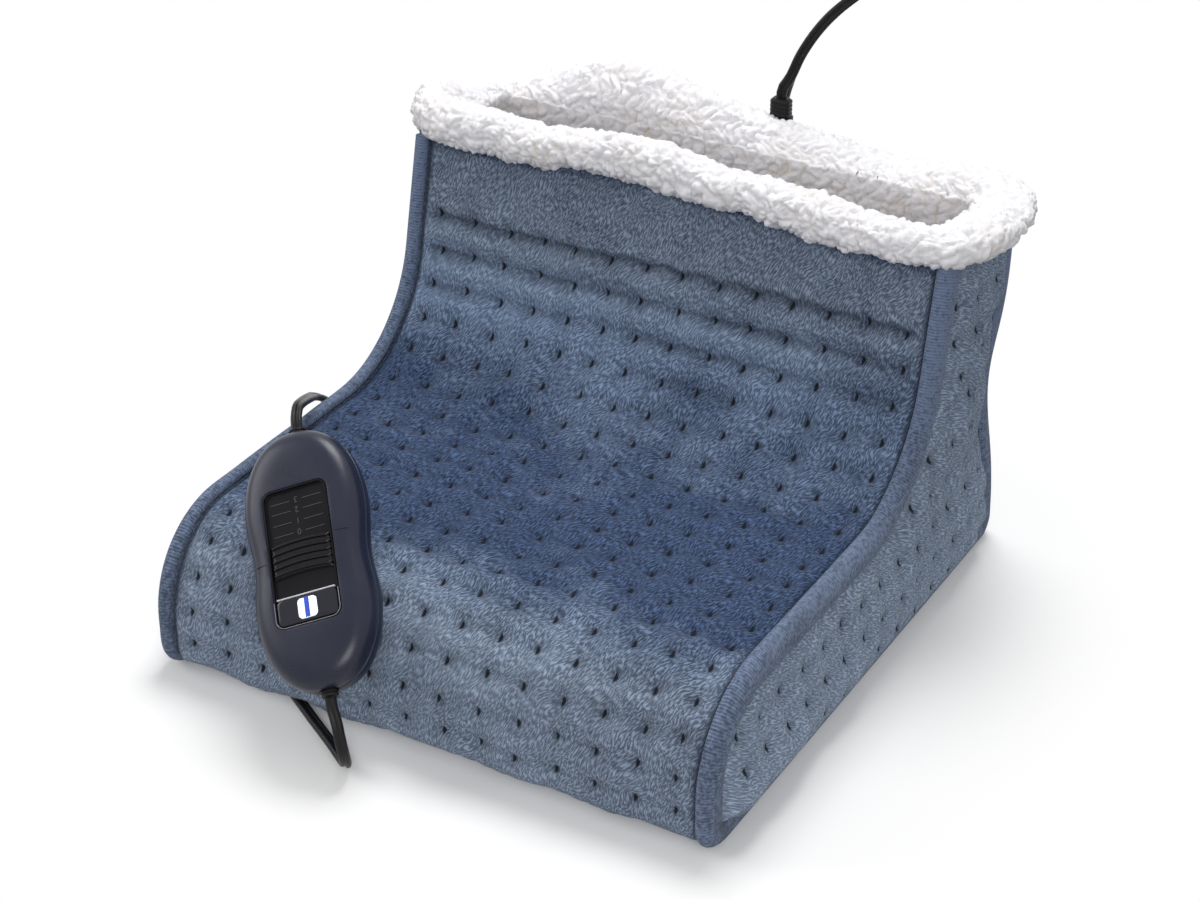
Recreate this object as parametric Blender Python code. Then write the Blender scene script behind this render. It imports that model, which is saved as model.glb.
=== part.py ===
"""Electric foot warmer: a quilted plush boot for both feet, with a hand controller and its two cords.

The boot stands on z = 0 with its toe towards -Y and its mouth up. Lengths are in metres.
Side outlines are drawn in the Y-Z plane and run across the boot along X.
"""

import math

import bmesh
import bpy
from mathutils import Matrix, Vector

# Clearances shared by every piece
GAP = 0.0003
OVERRUN = 0.002
SOLE_SEAM = 0.0010

# Boot: the outline of its side, measured on the outer cloth
BODY_WIDTH = 0.296
HALF_WIDTH = BODY_WIDTH / 2
TOE_FRONT = -0.1455
BACK_FACE = 0.1645
TOE_HEIGHT = 0.0765
TOE_RADIUS = 0.047
TOE_BOTTOM_RADIUS = 0.014
HEEL_RADIUS = 0.010
INSTEP_RADIUS = 0.070
LEG_FRONT = 0.0895
LEG_LEAN_SLOPE = 0.2258
SEAM_HEIGHT = 0.186
SHELL_TOP = 0.196
LEAST_RADIUS = 0.003

# Layers of the boot
PANEL_THICK = 0.006
SOLE_THICK = 0.008
FOAM_THICK = 0.004
CARRIER_THICK = 0.001
WIRE_DIAMETER = 0.0016
LINING_THICK = 0.008
BACK_LINING_THICK = 0.009

# Binding tape round each side panel
TAPE_THICK = 0.0022
TAPE_FRONT = 0.0085
TAPE_SIDE = 0.0095
TAPE_ROUND = 0.0016

# Sewn tufts
TUFT_COLUMNS = 14
TUFT_SIDE = 0.01735
TUFT_PITCH = 2 * (HALF_WIDTH - TUFT_SIDE) / (TUFT_COLUMNS - 1)
TUFT_ROW_PITCH = 0.0180
TUFT_DEPTH = 0.0024
TUFT_SIZE = 0.0064
PUFF_HEIGHT = 0.0012
PLAIN_BAND = 0.047
BACK_PLAIN_BAND = 0.038
TUFT_ROW_END = 0.012
BACK_TUFT_ROW_END = 0.010

# Crown of the side panels, as distance in from the edge and height
SIDE_CROWN = ((0.0098, 0.0), (0.0150, 0.0034), (0.0220, 0.0052))
SIDE_TUFT_EDGE = 0.0105
SIDE_TUFT_FRONT = 0.0232
SIDE_TUFT_LOW = 0.0160

# Sherpa collar, rolled over the top edges of the shell and the lining
COLLAR_LAP = 0.0065
COLLAR_HEIGHT = 0.0215
COLLAR_BOTTOM = SHELL_TOP - COLLAR_LAP
COLLAR_TOP = COLLAR_BOTTOM + COLLAR_HEIGHT
LINING_TOP = COLLAR_BOTTOM - 2 * GAP
COLLAR_OUT = 0.0155
COLLAR_IN = 0.0175
COLLAR_CORNER = 0.026
COLLAR_BACK_SAG = 0.0050
COLLAR_CLEAR = TAPE_THICK + GAP
# Its section in shares of the overhang, of the height and of the plan's corner radius
COLLAR_OUTER_SHARES = (
    (0.72, 0.0, 1.0), (1.0, 0.22, 1.0), (1.0, 0.62, 1.0), (0.66, 0.90, 1.0), (0.10, 1.0, 0.8),
)
COLLAR_INNER_SHARES = ((0.55, 0.97, 0.6), (0.92, 0.72, 0.5), (1.0, 0.35, 0.5))
COLLAR_SEAT_SHARE = 0.97

# Heater
HEATER_ROWS = 11
HEATER_PITCH = 0.018
HEATER_MARGIN = 0.0101
HEATER_LEAD_SPACING = 0.010
CUTOUT_LENGTH = 0.016
CUTOUT_WIDTH = 0.007
CUTOUT_HEIGHT = 0.0045

# Splice housing, internal lead and gland at the back
GLAND_X = 0.017
GLAND_OUT = 0.0090
GLAND_WIDTH = 0.0110
GLAND_DEPTH = 0.0075
GLAND_TIP_WIDTH = 0.0098
GLAND_TIP_DEPTH = 0.0062
GLAND_HANG = 0.0215
GLAND_PROUD = 0.0010
GLAND_TIP_LENGTH = 0.0024
GLAND_STUB_RADIUS = 0.0034
GLAND_STUB_RISE = 0.0065
GLAND_FOOT = COLLAR_BOTTOM - GLAND_HANG
GLAND_STUB_HEIGHT = GLAND_FOOT + GLAND_STUB_RISE
GLAND_TOP = COLLAR_TOP + GLAND_PROUD
GLAND_SHOULDER = GLAND_TOP - GLAND_TIP_LENGTH
PLATE_WIDTH = 0.026
PLATE_THICK = 0.0022
PLATE_HEIGHT = 0.016
SPLICE_LENGTH = 0.040
SPLICE_DEPTH = 0.0078
SPLICE_HEIGHT = 0.0130
INNER_LEAD_DIAMETER = 0.0042

# Cords
CORD_DIAMETER = 0.005
CORD_LIFT = 0.0003
CORD_STEP = 0.0125
COIL_CENTRE = (0.030, 0.2480)
COIL_RADIUS = 0.0455
COIL_PITCH = 0.0056
COIL_TURNS = 3
COIL_POINTS = 24
COIL_CLIMB_SHARE = 0.5
TIE_THICK = 0.0009
TIE_WIDTH = 0.006
TIE_ANGLE = 10.0
LEAD_ROUTE = (
    (0.0209, 0.1755, 0.2248),
    (0.0253, 0.1770, 0.2365),
    (0.0316, 0.1790, 0.2483),
    (0.0387, 0.1815, 0.2584),
    (0.0465, 0.1850, 0.2666),
    (0.0535, 0.1890, 0.2730),
    (0.0585, 0.1960, 0.2775),
    (0.0575, 0.2050, 0.2765),
    (0.0490, 0.2095, 0.2690),
    (0.0352, 0.2100, 0.2559),
    (0.0275, 0.2140, 0.2482),
    (0.0167, 0.2200, 0.2359),
    (0.0059, 0.2260, 0.2211),
    (-0.0034, 0.2320, 0.2053),
    (-0.0100, 0.2370, 0.1901),
    (-0.0145, 0.2410, 0.1773),
    (-0.0193, 0.2445, 0.1633),
    (-0.0260, 0.2490, 0.1310),
    (-0.0330, 0.2520, 0.0900),
    (-0.0440, 0.2530, 0.0480),
    (-0.0630, 0.2490, 0.0160),
    (-0.0880, 0.2380, 0.0036),
    (-0.1150, 0.2220, 0.0028),
    (-0.1400, 0.2000, 0.0028),
    (-0.1560, 0.1720, 0.0028),
    (-0.1630, 0.1360, 0.0028),
    (-0.1650, 0.1050, 0.0030),
    (-0.1655, 0.0780, 0.0100),
    (-0.1650, 0.0550, 0.0240),
    (-0.1630, 0.0340, 0.0440),
    (-0.1595, 0.0195, 0.0590),
    (-0.1563, 0.0080, 0.0700),
    (-0.1537, -0.0007, 0.0768),
    (-0.1499, -0.0115, 0.0836),
    (-0.1393, -0.0287, 0.0943),
    (-0.1249, -0.0510, 0.1082),
    (-0.1125, -0.0715, 0.1200),
    (-0.1060, -0.0835, 0.1250),
)
MAINS_ROUTE = (
    (-0.0238, -0.1790, 0.0324),
    (-0.0215, -0.1800, 0.0239),
    (-0.0208, -0.1790, 0.0160),
    (-0.0228, -0.1750, 0.0080),
    (-0.0280, -0.1695, 0.0036),
    (-0.0360, -0.1638, 0.0028),
    (-0.0446, -0.1580, 0.0028),
    (-0.0610, -0.1476, 0.0028),
    (-0.0790, -0.1358, 0.0028),
    (-0.1010, -0.1208, 0.0028),
    (-0.1240, -0.1040, 0.0028),
    (-0.1470, -0.0850, 0.0028),
    (-0.1650, -0.0640, 0.0028),
    (-0.1740, -0.0380, 0.0028),
    (-0.1765, -0.0050, 0.0028),
    (-0.1770, 0.0500, 0.0028),
    (-0.1760, 0.1000, 0.0028),
    (-0.1730, 0.1500, 0.0028),
    (-0.1630, 0.1980, 0.0028),
    (-0.1420, 0.2380, 0.0028),
    (-0.1080, 0.2700, 0.0028),
    (-0.0640, 0.2880, 0.0030),
    (-0.0200, 0.2930, 0.0038),
)
CHANNEL_ROUTE = MAINS_ROUTE[6:13]
CHANNEL_MARGIN = 0.0008
CHANNEL_TOP = 0.0062

# Plug
PLUG_TAIL_END = (-0.0430, 0.1920)
PLUG_TAIL = 0.024
PLUG_LENGTH = 0.033
PLUG_WIDTH = 0.0340
PLUG_THICK = 0.0138
PLUG_NECK_WIDTH = 0.0170
PLUG_NECK_THICK = 0.0120
PLUG_TAIL_WIDTH = 0.0076
PLUG_CORNER_SHARE = 0.42
PLUG_TAIL_END_SHARES = (0.62, 0.80)
PLUG_NECK_SHARE = 0.10
PLUG_SHOULDER_SHARES = (0.34, 0.72)
PLUG_FULL_SHARE = 0.60
PIN_DIAMETER = 0.0040
PIN_LENGTH = 0.0190
PIN_SPACING = 0.0186
PIN_SOCKET = 0.0040

# Controller: its window, its waisted casing, and how it lies on the toe
WINDOW_WIDTH = 0.0332
WINDOW_LENGTH = 0.0675
WINDOW_CORNER = 0.0048
CASE_END = 0.02925
CASE_LENGTH = WINDOW_LENGTH + 2 * CASE_END
CASE_WIDTH = 0.061
CASE_HEIGHT = 0.026
CASE_WALL = 0.002
CASE_WAIST_SHARE = 0.10
CASE_WAIST_LENGTH = 0.017
CASE_POWER_SHARES = (3.2, 2.2)
CASE_POINTS = 36
CASE_X = -0.0645
CASE_CLEAR = 0.0013
CASE_SLIDE = 0.01105
CASE_TILT_ANGLE = 45.0
CASE_TURN_ANGLE = 31.5
# Inset and height of the casing's outer face, rim to crown, then of its inner face
CASE_OUTSIDE = (
    (0.0, 0.0002), (0.0003, 0.0040), (0.0010, 0.0072), (0.0026, 0.0098),
    (0.0055, 0.0117), (0.0100, 0.0127), (0.0150, 0.0130),
)
CASE_INSIDE = ((0.0020, 0.0002), (0.0022, 0.0045), (0.0040, 0.0082), (0.0075, 0.0102), (0.0130, 0.0109))
BUSHING_RADIUS = 0.0038
BUSHING_LIP = 0.0013
BUSHING_IN = 0.0070
BUSHING_OUT = 0.0020
BUSHING_TIP_RADIUS = 0.0033

# Slider and what lies below the window
TRACK_BOTTOM = 0.0090
TRACK_LIP_TOP = 0.0100
TRACK_LIP = 0.0016
TRACK_FLOOR = 0.0114
TRACK_RIM_TOP = 0.0127
TRACK_RIM = 0.0009
SLIDER_LENGTH = 0.0168
SLIDER_REST = 0.0051
SLIDER_STEP = 0.00525
SLIDER_THICK = 0.0013
SLIDER_RIDGES = 5
RIDGE_HEIGHT = 0.0009
RIDGE_ARCH = 0.0013
RIDGE_EDGE_SHARE = 0.16
SLIDER_STATION_SHARES = (-1.0, -0.55, 0.0, 0.55, 1.0)
STEM_WIDTH = 0.0040
STEM_LENGTH = 0.0050
STEM_BOTTOM = 0.0066
LENS_LENGTH = 0.0128
LENS_THICK = 0.0012
LAMP_WIDTH = 0.0096
LAMP_LENGTH = 0.0098
LAMP_CORNER = 0.0022
LAMP_PROUD = 0.0003
BOARD_WIDTH = 0.040
BOARD_BOTTOM = 0.0030
BOARD_THICK = 0.0016
SWITCH_WIDTH = 0.012
SWITCH_LENGTH = 0.036
SWITCH_HEIGHT = 0.0036
BOSS_X = 0.0145
BOSS_END = 0.00925
BOSS_Y = WINDOW_LENGTH / 2 + BOSS_END
BOARD_EDGE = 0.0070
BOARD_LENGTH = 2 * (BOSS_Y + BOARD_EDGE)
BOSS_RADIUS = 0.0036
BOSS_SIDES = 12
SCREW_SIDES = 8
SCREW_HOLE = 0.0015
SCREW_SHANK = 0.0012
SCREW_HEAD = 0.0022
SCREW_HEAD_HOLE = 0.0026
SCREW_HEAD_HEIGHT = 0.0018
SCREW_LEDGE = -0.0050
SCREW_TOP = 0.0095
SCREW_HOLE_TOP = 0.0101

ARC_STEPS = 7
INSTEP_STEPS = 12
TUBE_STEPS = 2
COLOURS = {
    "plush": ((0.105, 0.150, 0.225), 0.95),
    "tape": ((0.095, 0.135, 0.210), 0.85),
    "sherpa": ((0.82, 0.81, 0.80), 1.0),
    "foam": ((0.60, 0.58, 0.52), 0.9),
    "felt": ((0.35, 0.34, 0.33), 0.95),
    "wire": ((0.60, 0.12, 0.06), 0.5),
    "cutout": ((0.12, 0.11, 0.10), 0.4),
    "casing": ((0.018, 0.018, 0.022), 0.42),
    "track": ((0.010, 0.010, 0.012), 0.25),
    "slider": ((0.014, 0.014, 0.016), 0.30),
    "lens": ((0.09, 0.09, 0.11), 0.08),
    "lamp": ((0.75, 0.85, 1.0), 0.2),
    "board": ((0.02, 0.16, 0.07), 0.5),
    "cord": ((0.012, 0.012, 0.013), 0.38),
    "pin": ((0.75, 0.72, 0.66), 0.25),
    "screw": ((0.55, 0.55, 0.56), 0.35),
}
METALS = ("pin", "screw")


# Scene, materials and plain bodies

def clear_scene():
    for obj in list(bpy.data.objects):
        bpy.data.objects.remove(obj, do_unlink=True)


def material(name):
    """The Principled material of this name, made once."""
    if name in bpy.data.materials:
        return bpy.data.materials[name]
    colour, roughness = COLOURS[name]
    made = bpy.data.materials.new(name)
    made.use_nodes = True
    shader = made.node_tree.nodes["Principled BSDF"]
    shader.inputs["Base Color"].default_value = (*colour, 1.0)
    shader.inputs["Roughness"].default_value = roughness
    shader.inputs["Metallic"].default_value = float(name in METALS)
    return made


def body(name, points, faces, look, smooth=False, split=False):
    """A mesh object with its faces turned outwards, and split into triangles where they are bent."""
    mesh = bpy.data.meshes.new(name)
    mesh.from_pydata([tuple(p) for p in points], [], faces)
    work = bmesh.new()
    work.from_mesh(mesh)
    if split:
        bmesh.ops.triangulate(work, faces=work.faces)
    bmesh.ops.recalc_face_normals(work, faces=work.faces)
    if work.calc_volume(signed=True) < 0:
        bmesh.ops.reverse_faces(work, faces=work.faces)
    work.to_mesh(mesh)
    work.free()
    if smooth:
        mesh.shade_smooth()
        mesh.set_sharp_from_angle(angle=math.radians(40))
    obj = bpy.data.objects.new(name, mesh)
    obj.data.materials.append(material(look))
    bpy.context.scene.collection.objects.link(obj)
    return obj


def loft(name, loops, look, smooth=False):
    """A body through loops with equal numbers of points, capped at both ends."""
    count = len(loops[0])
    points = [p for loop in loops for p in loop]
    faces = [tuple(range(count)), tuple(range(len(points) - count, len(points)))]
    for i in range(len(loops) - 1):
        for j in range(count):
            k = (j + 1) % count
            a, b = i * count, (i + 1) * count
            faces.append((a + j, a + k, b + k, b + j))
    return body(name, points, faces, look, smooth)


def ring(name, loops, look, smooth=False):
    """A body through closed loops where the last joins the first again."""
    count = len(loops[0])
    points = [p for loop in loops for p in loop]
    faces = []
    for i in range(len(loops)):
        a, b = i * count, ((i + 1) % len(loops)) * count
        for j in range(count):
            k = (j + 1) % count
            faces.append((a + j, a + k, b + k, b + j))
    return body(name, points, faces, look, smooth)


def across(name, outline, left, right, look, smooth=False):
    """A Y-Z outline carried from x = left to x = right."""
    return loft(name, [[(x, y, z) for y, z in outline] for x in (left, right)], look, smooth)


def block(name, low, high, look):
    outline = [(low[1], low[2]), (high[1], low[2]), (high[1], high[2]), (low[1], high[2])]
    return across(name, outline, low[0], high[0], look)


def cylinder(name, centre, radius, bottom, top, look, sides=BOSS_SIDES):
    """An upright cylinder."""
    turns = [math.tau * i / sides for i in range(sides)]
    round_points = [(centre[0] + radius * math.cos(t), centre[1] + radius * math.sin(t)) for t in turns]
    return loft(name, [[(x, y, z) for x, y in round_points] for z in (bottom, top)], look, True)


def boolean(obj, other, operation):
    """Applies a Boolean and keeps the other object out of the model."""
    other.hide_render = True
    other.display_type = "WIRE"
    change = obj.modifiers.new(operation.lower(), "BOOLEAN")
    change.operation = operation
    change.solver = "EXACT"
    change.object = other


def finish_booleans(obj, helpers):
    """Bakes the Booleans, so that the helpers can go."""
    graph = bpy.context.evaluated_depsgraph_get()
    graph.update()
    baked = bpy.data.meshes.new_from_object(obj.evaluated_get(graph))
    obj.modifiers.clear()
    obj.data = baked
    for helper in helpers:
        bpy.data.objects.remove(helper, do_unlink=True)


def cut(obj, *cutters):
    for cutter in cutters:
        boolean(obj, cutter, "DIFFERENCE")
    finish_booleans(obj, cutters)


def fuse(obj, *others):
    for other in others:
        boolean(obj, other, "UNION")
    finish_booleans(obj, others)


# Side outline of the boot

def fillet(before, corner, after, radius, steps=ARC_STEPS):
    """Points of the arc that rounds a corner of a Y-Z outline."""
    corner = Vector(corner)
    to_before = (Vector(before) - corner).normalized()
    to_after = (Vector(after) - corner).normalized()
    half = to_before.angle(to_after) / 2
    middle = (to_before + to_after).normalized()
    centre = corner + middle * (radius / math.sin(half))
    reach = radius / math.tan(half)
    first = corner + to_before * reach - centre
    last = corner + to_after * reach - centre
    turn = first.angle_signed(last)
    points = []
    for i in range(steps + 1):
        angle = -turn * i / steps
        c, s = math.cos(angle), math.sin(angle)
        points.append((centre.x + first.x * c - first.y * s, centre.y + first.x * s + first.y * c))
    return points


def leg_front_at(z, inset=0.0):
    """Where the front of the leg stands at a height."""
    return LEG_FRONT + (z - SEAM_HEIGHT) * LEG_LEAN_SLOPE + inset * math.hypot(1, LEG_LEAN_SLOPE)


def outline_corners(inset, floor, top):
    level = TOE_HEIGHT - inset
    front, back = TOE_FRONT + inset, BACK_FACE - inset
    return {
        "mouth_front": (leg_front_at(top, inset), top),
        "instep": (leg_front_at(level, inset), level),
        "toe_top": (front, level),
        "toe_bottom": (front, floor),
        "heel": (back, floor),
        "mouth_back": (back, top),
    }


def front_path(inset, floor, top, steps=ARC_STEPS):
    """From the mouth down the leg, over the instep and round the toe to the floor."""
    at = outline_corners(inset, floor, top)
    room = TOE_HEIGHT - inset - floor - GAP
    toe_radius = min(max(TOE_RADIUS - inset, LEAST_RADIUS), room - LEAST_RADIUS)
    low_radius = min(max(TOE_BOTTOM_RADIUS - inset, LEAST_RADIUS), room - toe_radius)
    instep = fillet(
        at["mouth_front"], at["instep"], at["toe_top"], INSTEP_RADIUS + inset, max(steps, INSTEP_STEPS)
    )
    toe = fillet(at["instep"], at["toe_top"], at["toe_bottom"], toe_radius, steps)
    low = fillet(at["toe_top"], at["toe_bottom"], at["heel"], low_radius, steps)
    return [at["mouth_front"]] + instep + toe + low


def back_path(inset, floor, top, steps=ARC_STEPS):
    """From the floor round the heel and up the back."""
    at = outline_corners(inset, floor, top)
    radius = max(HEEL_RADIUS - inset, LEAST_RADIUS)
    return fillet(at["toe_bottom"], at["heel"], at["mouth_back"], radius, steps) + [at["mouth_back"]]


def side_outline(inset, floor, top, steps=ARC_STEPS):
    return front_path(inset, floor, top, steps) + back_path(inset, floor, top, steps)


def path_length(path):
    return sum(math.dist(a, b) for a, b in zip(path, path[1:]))


def along(path, distance):
    """The point of a path at this length from its start, and the path's direction there."""
    left = max(distance, 0.0)
    for a, b in zip(path, path[1:]):
        step = math.dist(a, b)
        if step and (left <= step or b == path[-1]):
            share = min(left / step, 1.0)
            point = tuple(p + (q - p) * share for p, q in zip(a, b))
            return point, ((b[0] - a[0]) / step, (b[1] - a[1]) / step)
        left -= step
    return path[-1], (0.0, 1.0)


# Quilted outer cloth

def tuft_stations(first, count, pitch):
    """Tuft lines and the puff lines between them, as (place, on a tuft line)."""
    stations = []
    for i in range(count):
        if i:
            stations.append((first + (i - 0.5) * pitch, False))
        stations.append((first + i * pitch, True))
    return stations


def quilted_panel(name, path, edge_path, rows):
    """A padded strip along a side path, sunk at each tuft and puffed between them.

    edge_path is the path that the strip's two long edges follow, under the binding.
    """
    half = HALF_WIDTH - PANEL_THICK - GAP
    first = -(TUFT_COLUMNS - 1) * TUFT_PITCH / 2
    columns = [(-half, None)] + tuft_stations(first, TUFT_COLUMNS, TUFT_PITCH) + [(half, None)]
    length, edge_length = path_length(path), path_length(edge_path)
    stations = [(0.0, None)] + rows + [(length, None)]
    outer, inner = [], []
    for s, row_tuft in stations:
        (y, z), (dy, dz) = along(path, s)
        out_y, out_z = dz, -dy
        line = []
        for x, column_tuft in columns:
            edge = column_tuft is None
            if edge:
                (ey, ez), _ = along(edge_path, s * edge_length / length)
                line.append((x, ey, ez))
                continue
            lift = 0.0
            if row_tuft is not None:
                lift = -TUFT_DEPTH if row_tuft and column_tuft else 0.0
                inside = abs(x) < -first
                if not row_tuft and not column_tuft and inside:
                    lift = PUFF_HEIGHT
            line.append((x, y + out_y * lift, z + out_z * lift))
        outer.append(line)
        inner.append([(x, y - out_y * PANEL_THICK, z - out_z * PANEL_THICK) for x in (-half, half)])
    return grid_body(name, outer, inner, "plush")


def grid_body(name, outer, inner, look):
    """A slab with a fine outer grid and an inner face that spans each row in one piece."""
    rows, columns = len(outer), len(outer[0])
    points = [p for line in outer for p in line] + [p for pair in inner for p in pair]
    base = rows * columns
    faces = []
    for i in range(rows - 1):
        for j in range(columns - 1):
            a = i * columns + j
            faces.append((a, a + 1, a + columns + 1, a + columns))
        low, high = base + 2 * i, base + 2 * (i + 1)
        faces.append((low, high, high + 1, low + 1))
        faces.append((i * columns, (i + 1) * columns, high, low))
        end = i * columns + columns - 1
        faces.append((end, low + 1, high + 1, end + columns))
    for i in (0, rows - 1):
        start = i * columns
        faces.append(tuple(range(start, start + columns)) + (base + 2 * i + 1, base + 2 * i))
    return body(name, points, faces, look, True, True)


def rows_that_fit(length, plain, end):
    """How many rows of tufts go between a plain band and the strip's other end."""
    return 1 + int((length - plain - end) / TUFT_ROW_PITCH)


def instep_panel():
    path = front_path(0.0, 0.0, SHELL_TOP, 3 * ARC_STEPS)
    edge = front_path(0.0, TAPE_THICK + 2 * GAP, SHELL_TOP, 3 * ARC_STEPS)
    rows = [(PLAIN_BAND - TUFT_ROW_PITCH / 2, False)]
    count = rows_that_fit(path_length(path), PLAIN_BAND, TUFT_ROW_END)
    rows += tuft_stations(PLAIN_BAND, count, TUFT_ROW_PITCH)
    return quilted_panel("instep_panel", path, edge, rows)


def back_panel():
    path = back_path(0.0, 0.0, SHELL_TOP)
    edge = back_path(0.0, TAPE_THICK + 2 * GAP, SHELL_TOP)
    heel = HEEL_RADIUS * math.pi / 2
    count = rows_that_fit(path_length(path), BACK_PLAIN_BAND, heel + BACK_TUFT_ROW_END)
    first = path_length(path) - BACK_PLAIN_BAND - (count - 1) * TUFT_ROW_PITCH
    rows = [(heel / 2, False), (heel, False)] + tuft_stations(first, count, TUFT_ROW_PITCH)
    rows.append((first + (count - 0.5) * TUFT_ROW_PITCH, False))
    panel = quilted_panel("back_panel", path, edge, rows)
    hole = cylinder_along_y(
        "stub_hole", GLAND_X, GLAND_STUB_HEIGHT, GLAND_STUB_RADIUS + GAP,
        BACK_FACE - PANEL_THICK - OVERRUN, BACK_FACE + OVERRUN, "plush",
    )
    cut(panel, hole)
    return panel


def cylinder_along_y(name, x, z, radius, start, end, look, sides=BOSS_SIDES):
    turns = [math.tau * i / sides for i in range(sides)]
    circle = [(x + radius * math.cos(t), z + radius * math.sin(t)) for t in turns]
    return loft(name, [[(cx, y, cz) for cx, cz in circle] for y in (start, end)], look, True)


def crown_at(distance):
    """Height of a side panel's crown at this distance from its edge."""
    before = (0.0, 0.0)
    for reach, height in SIDE_CROWN:
        if distance <= reach:
            return before[1] + (height - before[1]) * (distance - before[0]) / (reach - before[0])
        before = (reach, height)
    return before[1]


def edge_distance(outline, y, z):
    """Distance from a point to a closed outline, negative outside it."""
    nearest, inside = math.inf, False
    for a, b in zip(outline, outline[1:] + outline[:1]):
        span = Vector(b) - Vector(a)
        if not span.length:
            continue
        share = min(max((Vector((y, z)) - Vector(a)).dot(span) / span.length_squared, 0.0), 1.0)
        nearest = min(nearest, (Vector(a) + span * share - Vector((y, z))).length)
        if (a[1] > z) != (b[1] > z) and y < a[0] + span.x * (z - a[1]) / span.y:
            inside = not inside
    return nearest if inside else -nearest


def side_panel(name, side):
    """A crowned side with its tufts cut in as small pyramids."""
    floor = TAPE_THICK
    base = side_outline(0.0, floor, SHELL_TOP)
    face = side * HALF_WIDTH
    loops = [[(face - side * PANEL_THICK, y, z) for y, z in base], [(face, y, z) for y, z in base]]
    for inset, height in SIDE_CROWN:
        top = SHELL_TOP - inset
        loop = side_outline(inset, floor + inset, top)
        loops.append([(face + side * height, y, z) for y, z in loop])
    panel = loft(name, loops, "plush", True)
    points, faces = [], []
    y = TOE_FRONT + SIDE_TUFT_FRONT
    while y < BACK_FACE:
        z = SIDE_TUFT_LOW
        while z < SEAM_HEIGHT:
            distance = edge_distance(base, y, z)
            if distance > SIDE_TUFT_EDGE:
                add_pyramid(points, faces, face, side, y, z, crown_at(distance))
            z += TUFT_ROW_PITCH
        y += TUFT_PITCH
    tufts = body("tufts", points, faces, "plush")
    cut(panel, tufts)
    return panel


def add_pyramid(points, faces, face, side, y, z, height):
    """A four-sided pyramid that points into the cloth."""
    start, half = len(points), TUFT_SIZE / 2
    outside = face + side * (height + OVERRUN / 2)
    apex = face + side * (height - TUFT_DEPTH)
    points.extend([
        (outside, y - half, z - half), (outside, y + half, z - half),
        (outside, y + half, z + half), (outside, y - half, z + half), (apex, y, z),
    ])
    corners = range(start, start + 4)
    faces.append(tuple(corners) if side < 0 else tuple(reversed(corners)))
    for i in range(4):
        a, b = start + i, start + (i + 1) % 4
        faces.append((b, a, start + 4) if side < 0 else (a, b, start + 4))


def sole_panel():
    """The walked-on bottom cloth, recessed along both sides for the binding."""
    front = TOE_FRONT + TOE_BOTTOM_RADIUS + SOLE_SEAM
    back = BACK_FACE - HEEL_RADIUS - SOLE_SEAM
    wide = HALF_WIDTH - PANEL_THICK - GAP
    narrow = HALF_WIDTH - TAPE_FRONT - GAP
    step = TAPE_THICK + GAP
    section = [
        (-narrow, 0.0), (narrow, 0.0), (narrow, step), (wide, step),
        (wide, SOLE_THICK), (-wide, SOLE_THICK), (-wide, step), (-narrow, step),
    ]
    loops = [[(x, y, z) for x, z in section] for y in (front, back)]
    return loft("sole_panel", loops, "plush")


def binding(name, side):
    """Folded tape that wraps the edge of a side panel all round, up to the mouth."""
    face = HALF_WIDTH
    section = (
        (face - TAPE_FRONT, -GAP),
        (face - TAPE_FRONT, -TAPE_THICK),
        (face + TAPE_THICK - TAPE_ROUND, -TAPE_THICK),
        (face + TAPE_THICK, -TAPE_THICK + TAPE_ROUND),
        (face + TAPE_THICK, TAPE_SIDE),
        (face + GAP, TAPE_SIDE),
        (face + GAP, -GAP),
    )
    top = COLLAR_BOTTOM - GAP
    paths = [side_outline(inset, inset + TAPE_THICK, top) for _, inset in section]
    loops = []
    for k in range(len(paths[0])):
        loops.append([(side * x, *path[k]) for (x, _), path in zip(section, paths)])
    return loft(name, loops, "tape", True)


def channel_cutter():
    """The shallow way that the mains cord presses under the soft toe."""
    route = CHANNEL_ROUTE
    half = CORD_DIAMETER / 2 + CHANNEL_MARGIN
    left, right = [], []
    for i, (x, y, _) in enumerate(route):
        before, after = route[max(i - 1, 0)], route[min(i + 1, len(route) - 1)]
        run = Vector((after[0] - before[0], after[1] - before[1])).normalized()
        left.append((x - run.y * half, y + run.x * half))
        right.append((x + run.y * half, y - run.x * half))
    plan = left + right[::-1]
    loops = [[(x, y, z) for x, y in plan] for z in (-OVERRUN, CHANNEL_TOP)]
    return loft("cord_channel", loops, "plush")


# Lining, foam and heater

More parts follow.
